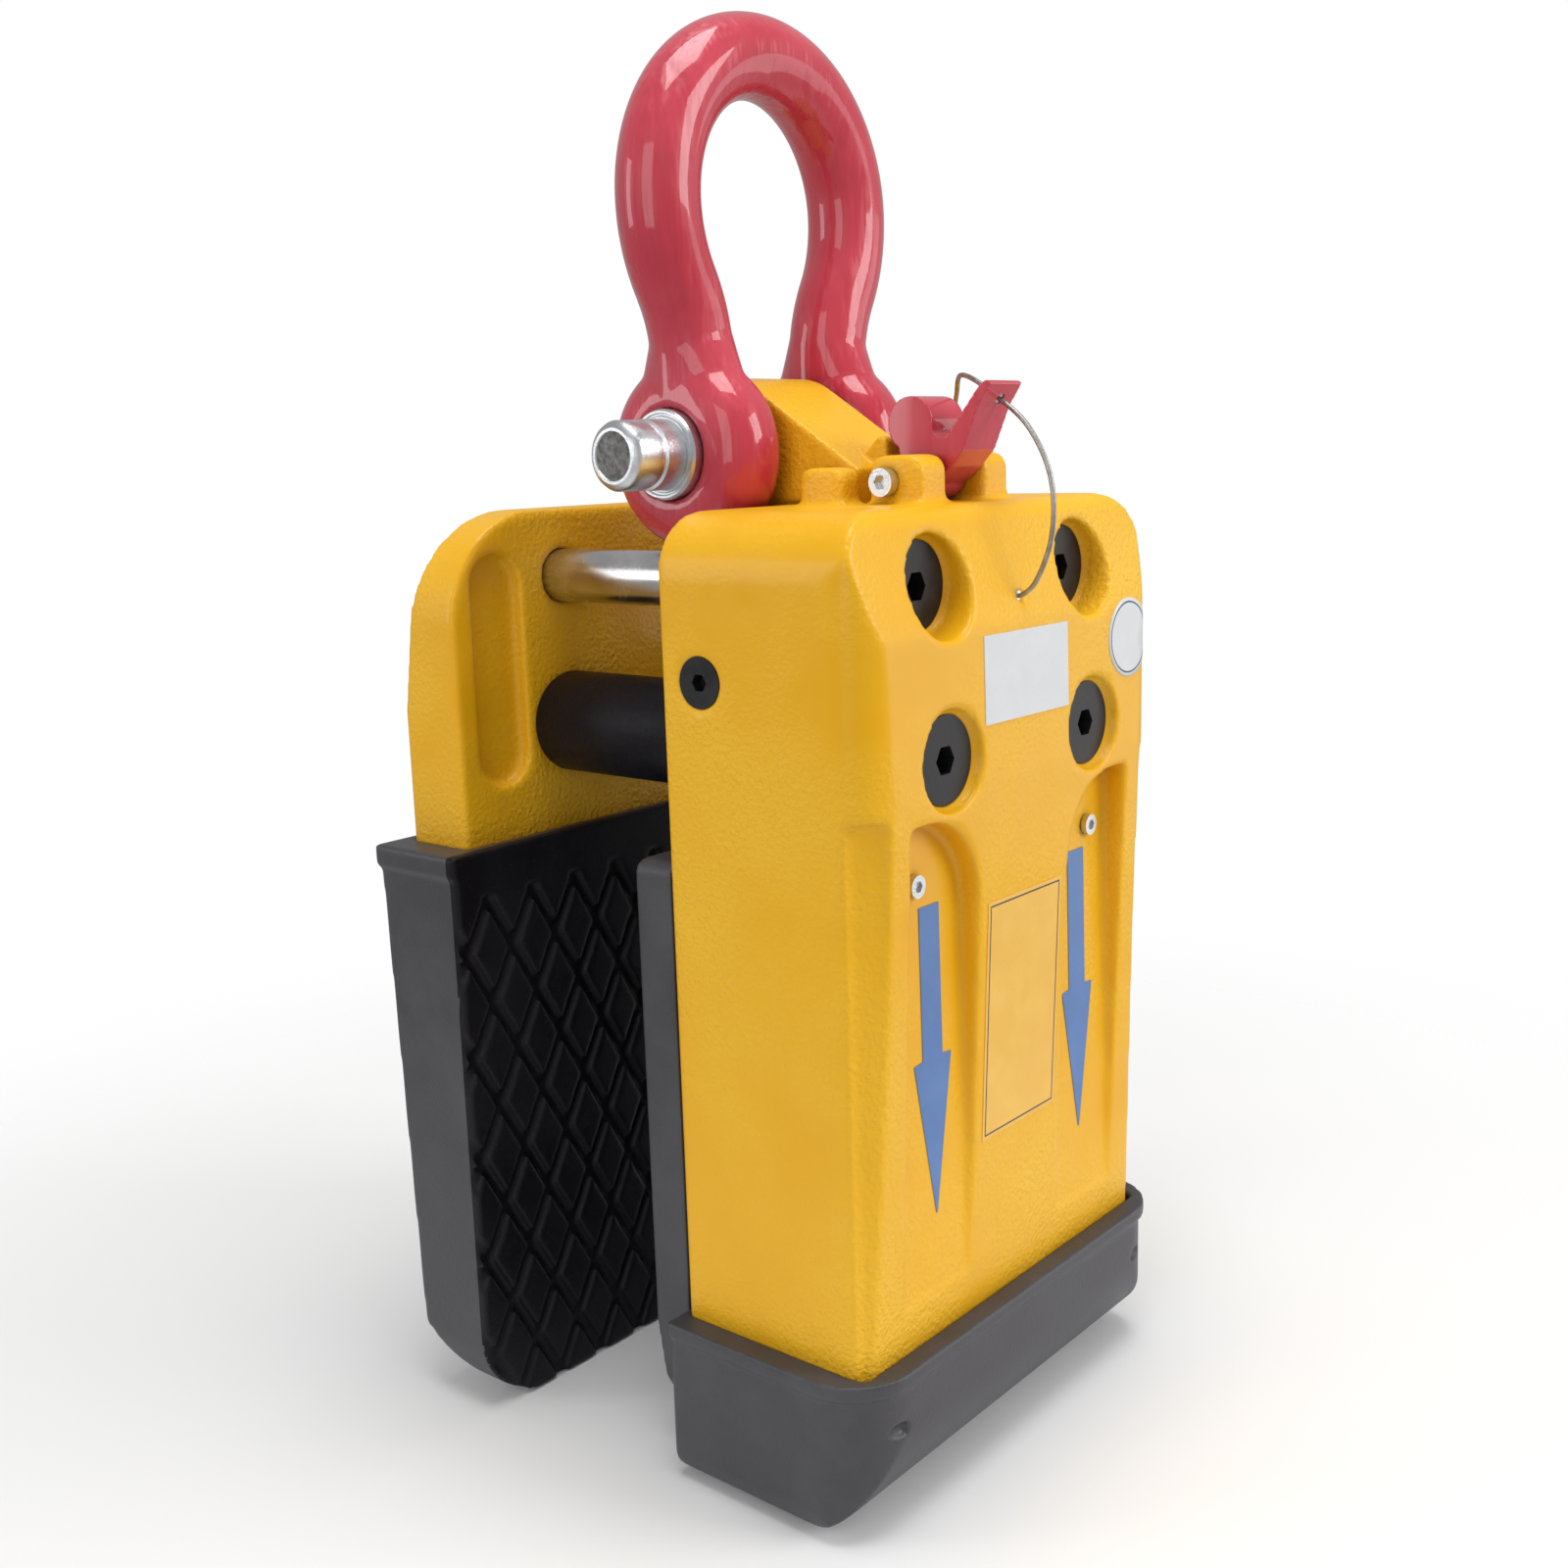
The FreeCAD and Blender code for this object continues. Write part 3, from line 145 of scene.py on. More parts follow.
deselect_all()
bpy.ops.mesh.primitive_circle_add(vertices=floor_sides, radius=floor_radius, fill_type="NGON",
                                  location=(0.0, 0.0, 0.0))
floor = bpy.context.object
floor.name = "studio_floor"
floor.data.materials.append(floor_material())


def studio_lamp(name, position, aim, size, power):
    data = bpy.data.lights.new(name, "AREA")
    data.shape = "RECTANGLE"
    data.size, data.size_y = size
    data.energy = power
    lamp = bpy.data.objects.new(name, data)
    bpy.context.scene.collection.objects.link(lamp)
    lamp.location = position
    lamp.rotation_mode = "QUATERNION"
    lamp.rotation_quaternion = (Vector(aim) - Vector(position)).to_track_quat("-Z", "Y")


# each lamp's place, the point that it is aimed at, its width and height, and its watts
studio_lamp("key_lamp", (0.9, -1.9, 1.25), (0.0, -0.05, 0.28), (1.1, 1.1), 22.0)
studio_lamp("side_lamp", (-2.0, -0.5, 0.9), (0.0, 0.0, 0.28), (1.0, 1.6), 10.0)
studio_lamp("top_lamp", (-0.1, -0.2, 2.0), (0.0, 0.0, 0.3), (1.0, 1.0), 19.0)
studio_lamp("sheen_lamp", (-1.35, 1.15, 0.75), (-0.1, 0.0, 0.3), (0.45, 0.9), 4.5)
studio_lamp("front_lamp", (1.6, -1.35, 0.2), (0.0, -0.1, 0.2), (1.3, 1.1), 6.0)


def white_surround():
    # plain white where the camera sees it, and a softer white as light
    world = bpy.data.worlds.new("white_surround")
    world.use_nodes = True
    nodes, links = world.node_tree.nodes, world.node_tree.links
    nodes.clear()
    output = nodes.new("ShaderNodeOutputWorld")
    seen_white = nodes.new("ShaderNodeBackground")
    seen_white.inputs["Color"].default_value = plain_white
    soft_fill = nodes.new("ShaderNodeBackground")
    soft_fill.inputs["Color"].default_value = plain_white
    soft_fill.inputs["Strength"].default_value = fill_strength
    ray_kind = nodes.new("ShaderNodeLightPath")
    shown_rays = nodes.new("ShaderNodeMath")
    shown_rays.operation = "MAXIMUM"
    mix = nodes.new("ShaderNodeMixShader")
    links.new(ray_kind.outputs["Is Camera Ray"], shown_rays.inputs[0])
    links.new(ray_kind.outputs["Is Transmission Ray"], shown_rays.inputs[1])
    links.new(shown_rays.outputs["Value"], mix.inputs["Fac"])
    links.new(soft_fill.outputs["Background"], mix.inputs[1])
    links.new(seen_white.outputs["Background"], mix.inputs[2])
    links.new(mix.outputs["Shader"], output.inputs["Surface"])
    return world


bpy.context.scene.world = white_surround()
bpy.context.scene.view_settings.view_transform = "Standard"


# Housing: an iron casting with softened corners, sprayed in gloss yellow over a coarse
# skin. Its screw recesses and scoops are cast in.
yellow = (0.80, 0.398, 0.003)
yellow_pale_and_highlight = (0.88, 0.50, 0.022)
yellow_painted_shade = (0.44, 0.19, 0.002)
copy_weld = 0.00002


def effect_group(name, inputs, outputs):
    group = bpy.data.node_groups.new(name, "ShaderNodeTree")
    for socket_name, value in inputs:
        socket = group.interface.new_socket(name=socket_name, in_out="INPUT",
                                            socket_type="NodeSocketFloat")
        socket.default_value = value
    for socket_name in outputs:
        group.interface.new_socket(name=socket_name, in_out="OUTPUT", socket_type="NodeSocketFloat")
    start = group.nodes.new("NodeGroupInput")
    end = group.nodes.new("NodeGroupOutput")
    return group, group.nodes, group.links, start, end


def feed(links, socket, value):
    # a socket takes a plain number or colour, or what another node puts out
    if isinstance(value, bpy.types.NodeSocket):
        links.new(value, socket)
    else:
        socket.default_value = value + (1.0,) if isinstance(value, tuple) else value


def noise(nodes, links, coordinates, scale, detail, roughness=0.5):
    node = nodes.new("ShaderNodeTexNoise")
    node.inputs["Detail"].default_value = detail
    node.inputs["Roughness"].default_value = roughness
    links.new(coordinates, node.inputs["Vector"])
    feed(links, node.inputs["Scale"], scale)
    return node.outputs["Fac"]


def math_node(nodes, links, operation, first, second):
    node = nodes.new("ShaderNodeMath")
    node.operation = operation
    feed(links, node.inputs[0], first)
    feed(links, node.inputs[1], second)
    return node.outputs["Value"]


def remap(nodes, links, value, low, high, to_low=0.0, to_high=1.0):
    node = nodes.new("ShaderNodeMapRange")
    node.inputs["From Min"].default_value = low
    node.inputs["From Max"].default_value = high
    node.inputs["To Min"].default_value = to_low
    node.inputs["To Max"].default_value = to_high
    links.new(value, node.inputs["Value"])
    return node.outputs["Result"]


def blend_colour(nodes, links, share, first, second):
    node = nodes.new("ShaderNodeMix")
    node.data_type = "RGBA"
    links.new(share, node.inputs["Factor"])
    feed(links, node.inputs[6], first)
    feed(links, node.inputs[7], second)
    return node.outputs[2]


def casting_grain_group():
    # the skin that sand leaves: fine grain in patches over a broad swell
    group, nodes, links, start, end = effect_group(
        "casting_grain", [("Grain Scale", 500.0), ("Swell Scale", 45.0), ("Swell Share", 0.5)],
        ["Height", "Tint"])
    where = nodes.new("ShaderNodeTexCoord").outputs["Object"]
    grain = noise(nodes, links, where, start.outputs["Grain Scale"], detail=2.0)
    swell = noise(nodes, links, where, start.outputs["Swell Scale"], detail=1.0)
    patch = noise(nodes, links, where, scale=14.0, detail=3.0)
    worn = remap(nodes, links, patch, low=0.35, high=0.7)
    fine = math_node(nodes, links, "MULTIPLY", grain, worn)
    broad = math_node(nodes, links, "MULTIPLY", swell, start.outputs["Swell Share"])
    links.new(math_node(nodes, links, "ADD", fine, broad), end.inputs["Height"])
    links.new(remap(nodes, links, patch, low=0.3, high=0.75), end.inputs["Tint"])
    return group


def edge_mask_group():
    # the edges, where paint rubs off in chips and a highlight is painted, and the recesses, where shade is
    # painted
    group, nodes, links, start, end = effect_group(
        "edge_highlight_and_shade_mask", [("Edge Radius", 0.0012), ("Recess Reach", 0.008)], ["Edge", "Recess"])
    rounded = nodes.new("ShaderNodeBevel")
    rounded.samples = 4
    links.new(start.outputs["Edge Radius"], rounded.inputs["Radius"])
    flat = nodes.new("ShaderNodeNewGeometry")
    dot = nodes.new("ShaderNodeVectorMath")
    dot.operation = "DOT_PRODUCT"
    links.new(rounded.outputs["Normal"], dot.inputs[0])
    links.new(flat.outputs["Normal"], dot.inputs[1])
    where = nodes.new("ShaderNodeTexCoord").outputs["Object"]
    chips = noise(nodes, links, where, scale=160.0, detail=4.0)
    chipped = remap(nodes, links, chips, low=0.4, high=0.6)
    edge = remap(nodes, links, dot.outputs["Value"], low=0.995, high=0.9)
    links.new(math_node(nodes, links, "MULTIPLY", edge, chipped), end.inputs["Edge"])
    # painted shade: ambient occlusion finds the recesses, which the paints then darken
    hollow = nodes.new("ShaderNodeAmbientOcclusion")
    hollow.samples = 6
    links.new(start.outputs["Recess Reach"], hollow.inputs["Distance"])
    links.new(remap(nodes, links, hollow.outputs["AO"], low=0.85, high=0.3), end.inputs["Recess"])
    return group


def use_group(nodes, group, **values):
    node = nodes.new("ShaderNodeGroup")
    node.node_tree = group
    for name, value in values.items():
        node.inputs[name.replace("_", " ").title()].default_value = value
    return node


def shader(nodes, links, metallic=0.0, coat=0.0, coat_roughness=0.1, specular=0.5):
    surface = nodes.new("ShaderNodeBsdfPrincipled")
    surface.inputs["Metallic"].default_value = metallic
    surface.inputs["Coat Weight"].default_value = coat
    surface.inputs["Coat Roughness"].default_value = coat_roughness
    surface.inputs["Specular IOR Level"].default_value = specular
    output = nodes.new("ShaderNodeOutputMaterial")
    links.new(surface.outputs["BSDF"], output.inputs["Surface"])
    return surface


def relief(nodes, links, surface, height, distance):
    bump = nodes.new("ShaderNodeBump")
    bump.inputs["Distance"].default_value = distance
    bump.inputs["Strength"].default_value = 1.0
    links.new(height, bump.inputs["Height"])
    links.new(bump.outputs["Normal"], surface.inputs["Normal"])


def yellow_paint():
    # enamel over a casting: tint by patches, paler on edges as wear and painted highlight, darker in
    # recesses as painted shade
    material, nodes, links = new_material("yellow_enamel")
    surface = shader(nodes, links, coat=0.12, coat_roughness=0.12, specular=0.25)
    grain = use_group(nodes, casting_grain, grain_scale=480.0, swell_share=0.6)
    edges = use_group(nodes, edge_highlight_and_shade_mask, edge_radius=0.0015, recess_reach=0.01)
    tinted = blend_colour(nodes, links, grain.outputs["Tint"], yellow, yellow_pale_and_highlight)
    # painted highlight and wear: the chipped edges pale toward the lighter yellow
    edge_wear_and_highlight_share = math_node(nodes, links, "MULTIPLY", edges.outputs["Edge"], 0.35)
    edged = blend_colour(nodes, links, edge_wear_and_highlight_share, tinted, yellow_pale_and_highlight)
    # painted shade: the recesses darken toward the shade yellow
    painted_shade_share = math_node(nodes, links, "MULTIPLY", edges.outputs["Recess"], 0.45)
    shaded = blend_colour(nodes, links, painted_shade_share, edged, yellow_painted_shade)
    links.new(shaded, surface.inputs["Base Color"])
    gloss = remap(nodes, links, grain.outputs["Tint"], low=0.0, high=1.0, to_low=0.33, to_high=0.43)
    links.new(gloss, surface.inputs["Roughness"])
    relief(nodes, links, surface, grain.outputs["Height"], distance=0.0012)
    return material


def casting_copy(node, name, voxel, passes, share):
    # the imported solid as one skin, its edges softened as sand casting leaves them
    deselect_all()
    piece = bpy.data.objects.new(name, frame["nodes"][node].data.copy())
    bpy.context.scene.collection.objects.link(piece)
    piece.select_set(True)
    bpy.context.view_layer.objects.active = piece
    bpy.ops.object.mode_set(mode="EDIT")
    bpy.ops.mesh.select_all(action="SELECT")
    bpy.ops.mesh.remove_doubles(threshold=copy_weld)
    bpy.ops.object.mode_set(mode="OBJECT")
    skin = piece.modifiers.new("skin", "REMESH")
    skin.mode = "VOXEL"
    skin.voxel_size = voxel
    bpy.ops.object.modifier_apply(modifier=skin.name)
    soften = piece.modifiers.new("soften", "SMOOTH")
    soften.factor = 0.5
    soften.iterations = passes
    bpy.ops.object.modifier_apply(modifier=soften.name)
    thin = piece.modifiers.new("thin", "DECIMATE")
    thin.ratio = share
    bpy.ops.object.modifier_apply(modifier=thin.name)
    bpy.ops.object.shade_smooth()
    return piece


def dress(piece, material):
    piece.data.materials.clear()
    piece.data.materials.append(material)


def stands_for(piece, node, body, material):
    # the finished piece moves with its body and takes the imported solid's place
    dress(piece, material)
    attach(piece, body)
    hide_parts(node)


casting_grain = casting_grain_group()
edge_highlight_and_shade_mask = edge_mask_group()
yellow_enamel = yellow_paint()
housing_casting = casting_copy("housing_body", "housing_casting", voxel=0.0013, passes=8, share=0.3)
stands_for(housing_casting, "housing_body", "housing", yellow_enamel)


# Fixed jaw: a second yellow casting behind the rods, with an upright recess near each
# side. The same coarse skin and paint as the housing.
jaw_casting = casting_copy("rear_jaw_plate", "fixed_jaw_casting", voxel=0.0014, passes=6, share=0.3)
stands_for(jaw_casting, "rear_jaw_plate", "housing", yellow_enamel)


# Lifting bar: the yellow bar between the shackle's eyes, rounded over its crest, with
# the small nose that the latch hooks.
bar_casting = casting_copy("lifting_bar", "lifting_bar_casting", voxel=0.0009, passes=6, share=0.35)
stands_for(bar_casting, "lifting_bar", "bar", yellow_enamel)


# Shackle: a drop-forged bow with broad round eyes, dipped in red enamel that has run in
# long smooth streaks.
red = (0.49, 0.026, 0.052)
red_light = (0.58, 0.05, 0.082)
red_painted_shade = (0.20, 0.008, 0.014)
run_stretch = (1.0, 1.0, 0.12)


def red_enamel(name, run_depth):
    material, nodes, links = new_material(name)
    surface = shader(nodes, links, coat=0.8, coat_roughness=0.05, specular=0.25)
    where = nodes.new("ShaderNodeTexCoord").outputs["Object"]
    stretch = nodes.new("ShaderNodeMapping")
    stretch.inputs["Scale"].default_value = run_stretch
    links.new(where, stretch.inputs["Vector"])
    runs = noise(nodes, links, stretch.outputs["Vector"], scale=130.0, detail=2.0)
    patch = noise(nodes, links, where, scale=18.0, detail=3.0)
    edges = use_group(nodes, edge_highlight_and_shade_mask, edge_radius=0.001, recess_reach=0.01)
    tint = remap(nodes, links, patch, low=0.35, high=0.7)
    tinted = blend_colour(nodes, links, tint, red, red_light)
    # painted shade: the recesses darken toward the shade red
    painted_shade_share = math_node(nodes, links, "MULTIPLY", edges.outputs["Recess"], 0.5)
    shaded = blend_colour(nodes, links, painted_shade_share, tinted, red_painted_shade)
    links.new(shaded, surface.inputs["Base Color"])
    gloss = remap(nodes, links, patch, low=0.3, high=0.7, to_low=0.28, to_high=0.4)
    links.new(gloss, surface.inputs["Roughness"])
    swell = math_node(nodes, links, "MULTIPLY", patch, 2.0)
    height = math_node(nodes, links, "ADD", runs, swell)
    relief(nodes, links, surface, height, run_depth)
    return material


red_paint = red_enamel("red_enamel", run_depth=0.0022)
shackle_forging = casting_copy("shackle_bow", "shackle_forging", voxel=0.0011, passes=10, share=0.4)
stands_for(shackle_forging, "shackle_bow", "shackle", red_paint)


# Latch: a small red hook cut from plate, with a round lobe, a valley and a flat tail
# that carries the wire. It is drawn in a little, so that it swings free of the lugs.
latch_draw_in = 0.0003
latch_plate = casting_copy("latch_hook", "latch_plate", voxel=0.0005, passes=4, share=0.5)
deselect_all()
latch_plate.select_set(True)
bpy.context.view_layer.objects.active = latch_plate
free_run = latch_plate.modifiers.new("free_run", "DISPLACE")
free_run.mid_level = 0.0
free_run.strength = -latch_draw_in
bpy.ops.object.modifier_apply(modifier=free_run.name)
latch_paint = red_enamel("latch_enamel", run_depth=0.0005)
stands_for(latch_plate, "latch_hook", "latch", latch_paint)


# Rubber: the boot under the housing, the fixed jaw's sleeve and the moving jaw's pad are
# moulded in black rubber, matt, with dust in patches and diamonds on the faces.
speck_grey = (0.2, 0.2, 0.2)
tread_reach = 0.0042


def dust_group():
    # settled dust in broad patches, and fine specks
    group, nodes, links, start, end = effect_group(
        "settled_dust", [("Patch Scale", 25.0), ("Speck Scale", 420.0)], ["Dust", "Speck", "Height"])
    where = nodes.new("ShaderNodeTexCoord").outputs["Object"]
    patch = noise(nodes, links, where, start.outputs["Patch Scale"], detail=5.0, roughness=0.6)
    speck = noise(nodes, links, where, start.outputs["Speck Scale"], detail=2.0)
    links.new(remap(nodes, links, patch, low=0.42, high=0.72), end.inputs["Dust"])
    links.new(remap(nodes, links, speck, low=0.66, high=0.78), end.inputs["Speck"])
    links.new(speck, end.inputs["Height"])
    return group


settled_dust = dust_group()


def moulded_rubber(name, black, bloom, specular):
    material, nodes, links = new_material(name)
    surface = shader(nodes, links, specular=specular)
    dust = use_group(nodes, settled_dust, patch_scale=22.0, speck_scale=900.0)
    share = math_node(nodes, links, "MULTIPLY", dust.outputs["Dust"], 0.6)
    dusty = blend_colour(nodes, links, share, black, bloom)
    specks = math_node(nodes, links, "MULTIPLY", dust.outputs["Speck"], 0.1)
    links.new(blend_colour(nodes, links, specks, dusty, speck_grey), surface.inputs["Base Color"])
    matt = remap(nodes, links, dust.outputs["Dust"], low=0.0, high=1.0, to_low=0.40, to_high=0.56)
    links.new(matt, surface.inputs["Roughness"])
    relief(nodes, links, surface, dust.outputs["Height"], distance=0.00015)
    return material


rubber = moulded_rubber("moulded_rubber", black=(0.040, 0.039, 0.046), bloom=(0.082, 0.081, 0.092),
                        specular=0.5)
# a darker copy of the rubber, with less sheen: painted shade for the gripping face between the jaws
dark_rubber_painted_shade = moulded_rubber("dark_rubber_painted_shade", black=(0.0055, 0.005, 0.008), bloom=(0.014, 0.014, 0.018),
                              specular=0.15)
for node, body, voxel, passes in (("bottom_boot", "housing", 0.001, 8),
                                  ("rear_jaw_pad", "housing", 0.0012, 6),
                                  ("moving_jaw_pad", "jaw", 0.0009, 4)):
    moulding = casting_copy(node, node + "_moulding", voxel, passes, share=0.35)
    stands_for(moulding, node, body, rubber)
    if node == "rear_jaw_pad":
        # the side that grips the slab takes the darker rubber: painted shade, as it lies in the shade
        # between the jaws
        moulding.data.materials.append(dark_rubber_painted_shade)
        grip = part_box(node)[0].y + tread_reach
        for face in moulding.data.polygons:
            face.material_index = 1 if face.center.y < grip else 0


# Wire: thin steel rope from the latch's tail down to the housing's face, and a short
# stretch behind the tail into the far side of the lobe.
wire_diameter = 1.9
front_route = [(0, -90.3, -35), (0, -95, -33.4), (0, -99.8, -26), (0.5, -103.8, -15.5), (0.5, -105.2, -3.5),
               (1, -103.6, 9), (1.5, -98.2, 20.5), (2, -89.8, 31.2), (2, -80.9, 37.0)]
rear_route = [(2, -78.5, 38.6), (3, -73.5, 42), (6, -65.5, 45.5), (12, -57.5, 47), (20, -50.5, 46),
              (26.5, -45.5, 39.8), (27, -43, 30.5), (20.5, -44.5, 23.5), (10, -47, 23.5)]


def worn_finish(name, colour, light, roughness, spread, scale, depth, metallic=1.0):
    # one colour that pales and dulls where dust lies, over a fine relief
    material, nodes, links = new_material(name)
    surface = shader(nodes, links, metallic=metallic)
    dust = use_group(nodes, settled_dust, patch_scale=scale, speck_scale=scale * 18.0)
    dusty = blend_colour(nodes, links, dust.outputs["Dust"], colour, light)
    links.new(dusty, surface.inputs["Base Color"])
    dull = remap(nodes, links, dust.outputs["Dust"], low=0.0, high=1.0, to_low=roughness,
                 to_high=roughness + spread)
    links.new(dull, surface.inputs["Roughness"])
    relief(nodes, links, surface, dust.outputs["Height"], depth)
    return material


wire_steel = worn_finish("wire_steel", (0.30, 0.29, 0.28), (0.46, 0.45, 0.43), roughness=0.3,
                         spread=0.2, scale=300.0, depth=0.00005)


def wire_curve(name, route):
    data = bpy.data.curves.new(name, "CURVE")
    data.dimensions = "3D"
    data.resolution_u = 10
    spline = data.splines.new("NURBS")
    spline.points.add(len(route) - 1)
    for point, (x, y, z) in zip(spline.points, route):
        point.co = place(x, y, z).to_4d()
    spline.use_endpoint_u = True
    spline.order_u = 3
    curve = bpy.data.objects.new(name, data)
    bpy.context.scene.collection.objects.link(curve)
    return curve


def centreline(curve):
    line = bpy.data.meshes.new_from_object(curve.evaluated_get(bpy.context.evaluated_depsgraph_get()))
    points = [vertex.co.copy() for vertex in line.vertices]
    bpy.data.meshes.remove(line)
    return points


def wire_tube(name, route):
    # a round tube swept along the route's own smooth line
    curve = wire_curve(name, route)
    points = centreline(curve)
    curve.data.bevel_depth = wire_diameter / 2 * MM
    curve.data.bevel_resolution = 4
    curve.data.use_fill_caps = True
    deselect_all()
    curve.select_set(True)
    bpy.context.view_layer.objects.active = curve
    bpy.ops.object.convert(target="MESH")
    tube = bpy.context.object
    tube.name = name
    bpy.ops.object.shade_smooth()
    dress(tube, wire_steel)
    return tube, points


front_wire, front_line = wire_tube("front_wire", front_route)
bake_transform(front_wire)
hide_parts("lanyard_wire")
rear_wire, rear_line = wire_tube("rear_wire", rear_route)
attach(rear_wire, "latch")
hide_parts("lanyard_wire_end")


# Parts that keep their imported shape: screws in black oxide or zinc, bushes, shafts and
# the guide plate. Each takes the finish of its material in the record.
black_oxide = worn_finish("black_oxide", (0.016, 0.016, 0.018), (0.034, 0.034, 0.037), roughness=0.36,
                          spread=0.15, scale=60.0, depth=0.00006, metallic=0.6)
zinc = worn_finish("bright_zinc", (0.60, 0.62, 0.64), (0.74, 0.76, 0.78), roughness=0.3,
                   spread=0.16, scale=70.0, depth=0.0001)
machined = worn_finish("machined_steel", (0.36, 0.36, 0.37), (0.5, 0.5, 0.5), roughness=0.32,
                       spread=0.15, scale=80.0, depth=0.00005)
bronze = worn_finish("turned_bronze", (0.42, 0.25, 0.09), (0.55, 0.36, 0.15), roughness=0.32,
                     spread=0.15, scale=80.0, depth=0.00005)
polished = worn_finish("polished_steel", (0.52, 0.52, 0.53), (0.66, 0.66, 0.66), roughness=0.22,
                       spread=0.12, scale=50.0, depth=0.00002)
nylon = worn_finish("cream_nylon", (0.64, 0.61, 0.48), (0.72, 0.69, 0.58), roughness=0.45,
                    spread=0.1, scale=60.0, depth=0.00008, metallic=0.0)
finish_of_slot = {"black_steel": black_oxide, "zinc": zinc, "machined_steel": machined, "bronze": bronze,
                  "polished_steel": polished, "cream_nylon": nylon, "black_rubber": rubber,
                  "yellow_paint": yellow_enamel, "red_paint": red_paint, "wire_steel": wire_steel}
for part in frame["record"]["subparts"]:
    dress(frame["nodes"][part["node"]], finish_of_slot[part["material_slot"]])


# Upper tie rods: two polished spacer bars, bevelled at both ends, between the housing
# and the fixed jaw. Like all turned pieces, each is drawn as a circle and pulled along
# its axis from radius to radius, as a lathe cuts it.
along_x, along_y = Vector((1.0, 0.0, 0.0)), Vector((0.0, 1.0, 0.0))
quarter_turn = math.pi / 2
turned_sides = 64
turned_weld = 0.00001
sharp_angle = math.radians(30.0)
rod_bevel = 1.0


def turned(name, centre, along, outline, ends):
    # outline holds (reach along the axis, radius) in millimetres; a tube's comes back
    # to its own bore
    deselect_all()
    turn = (0.0, quarter_turn, 0.0) if along.x else (quarter_turn, 0.0, 0.0)
    reach, radius = outline[0]
    bpy.ops.mesh.primitive_circle_add(vertices=turned_sides, radius=radius * MM, fill_type="NOTHING",
                                      location=centre + along * reach * MM, rotation=turn)
    piece = bpy.context.object
    piece.name = name
    bpy.ops.object.transform_apply(location=True, rotation=True, scale=True)
    bpy.ops.object.mode_set(mode="EDIT")
    bpy.ops.mesh.select_all(action="SELECT")
    for next_reach, next_radius in outline[1:]:
        step = along * (next_reach - reach) * MM
        bpy.ops.mesh.extrude_region_move(TRANSFORM_OT_translate={"value": step})
        ratio = next_radius / radius
        bpy.ops.transform.resize(value=(ratio, ratio, ratio),
                                 center_override=centre + along * next_reach * MM)
        reach, radius = next_reach, next_radius
    if ends != "tube":
        bpy.ops.mesh.edge_face_add()
    if ends == "solid":
        bpy.ops.mesh.select_all(action="DESELECT")
        bpy.ops.mesh.select_non_manifold()
        bpy.ops.mesh.edge_face_add()
    bpy.ops.mesh.select_all(action="SELECT")
    bpy.ops.mesh.remove_doubles(threshold=turned_weld)
    bpy.ops.mesh.normals_make_consistent(inside=False)
    bpy.ops.object.mode_set(mode="OBJECT")
    bpy.ops.object.shade_smooth_by_angle(angle=sharp_angle)
    return piece


def one_of(pieces):
    # the pair that one node holds, joined into one object
    deselect_all()
    for piece in pieces:
        piece.select_set(True)
    bpy.context.view_layer.objects.active = pieces[0]
    bpy.ops.object.join()
    return bpy.context.object


def axis_start(node, side):
    # the near end of a pair's axis along Y, on the side that is asked for
    low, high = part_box(node)
    radius = (high.z - low.z) / 2
    start = Vector((side * (high.x - radius), low.y, (low.z + high.z) / 2))
    return start, (high.y - low.y) / MM, radius / MM


rods = []
for side in (-1.0, 1.0):
    start, length, radius = axis_start("upper_tie_rods", side)
    rods.append(turned("upper_tie_rod", start, along_y,
                       [(0.0, radius - rod_bevel), (rod_bevel, radius), (length - rod_bevel, radius),
                        (length, radius - rod_bevel)], "solid"))
stands_for(one_of(rods), "upper_tie_rods", "housing", polished)


# Buffer sleeves and washers: black rubber tubes over the lower rods, with soft rims, and
# the cream nylon washers that part them from the housing.
sleeve_bore = 11.05
# the sleeves take the darker rubber with the painted shade too
for node, rim, material, slot_name in (("buffer_sleeves", 1.6, dark_rubber_painted_shade, "black_rubber"),
                                       ("nylon_washers", 0.8, nylon, "cream_nylon")):
    rim_break = 0.3 * rim
    tubes = []
    for side in (-1.0, 1.0):
        start, length, radius = axis_start(node, side)
        tubes.append(turned(node[:-1], start, along_y,
                            [(0.0, sleeve_bore), (0.0, radius - rim), (rim_break, radius - rim_break),
                             (rim, radius), (length - rim, radius), (length - rim_break, radius - rim_break),
                             (length, radius - rim), (length, sleeve_bore), (0.0, sleeve_bore)], "tube"))
    stands_for(one_of(tubes), node, "housing", material)


# Shackle bushes: zinc rings in the eyes, each with a double rim that stands proud. Both
# sit on the shackle pin's axis.
pin_axis = place(0.0, 31.0, 20.5)
bush_outline = [(26.0, 13.55), (26.0, 16.6), (26.6, 17.25), (60.9, 17.25), (62.0, 16.5), (62.0, 15.7),
                (61.1, 15.2), (61.1, 14.7), (61.8, 14.2), (61.8, 13.55), (26.0, 13.55)]
bushes = [turned("shackle_bush", pin_axis, side * along_x, bush_outline, "tube") for side in (-1.0, 1.0)]
stands_for(one_of(bushes), "shackle_bushes", "shackle", zinc)


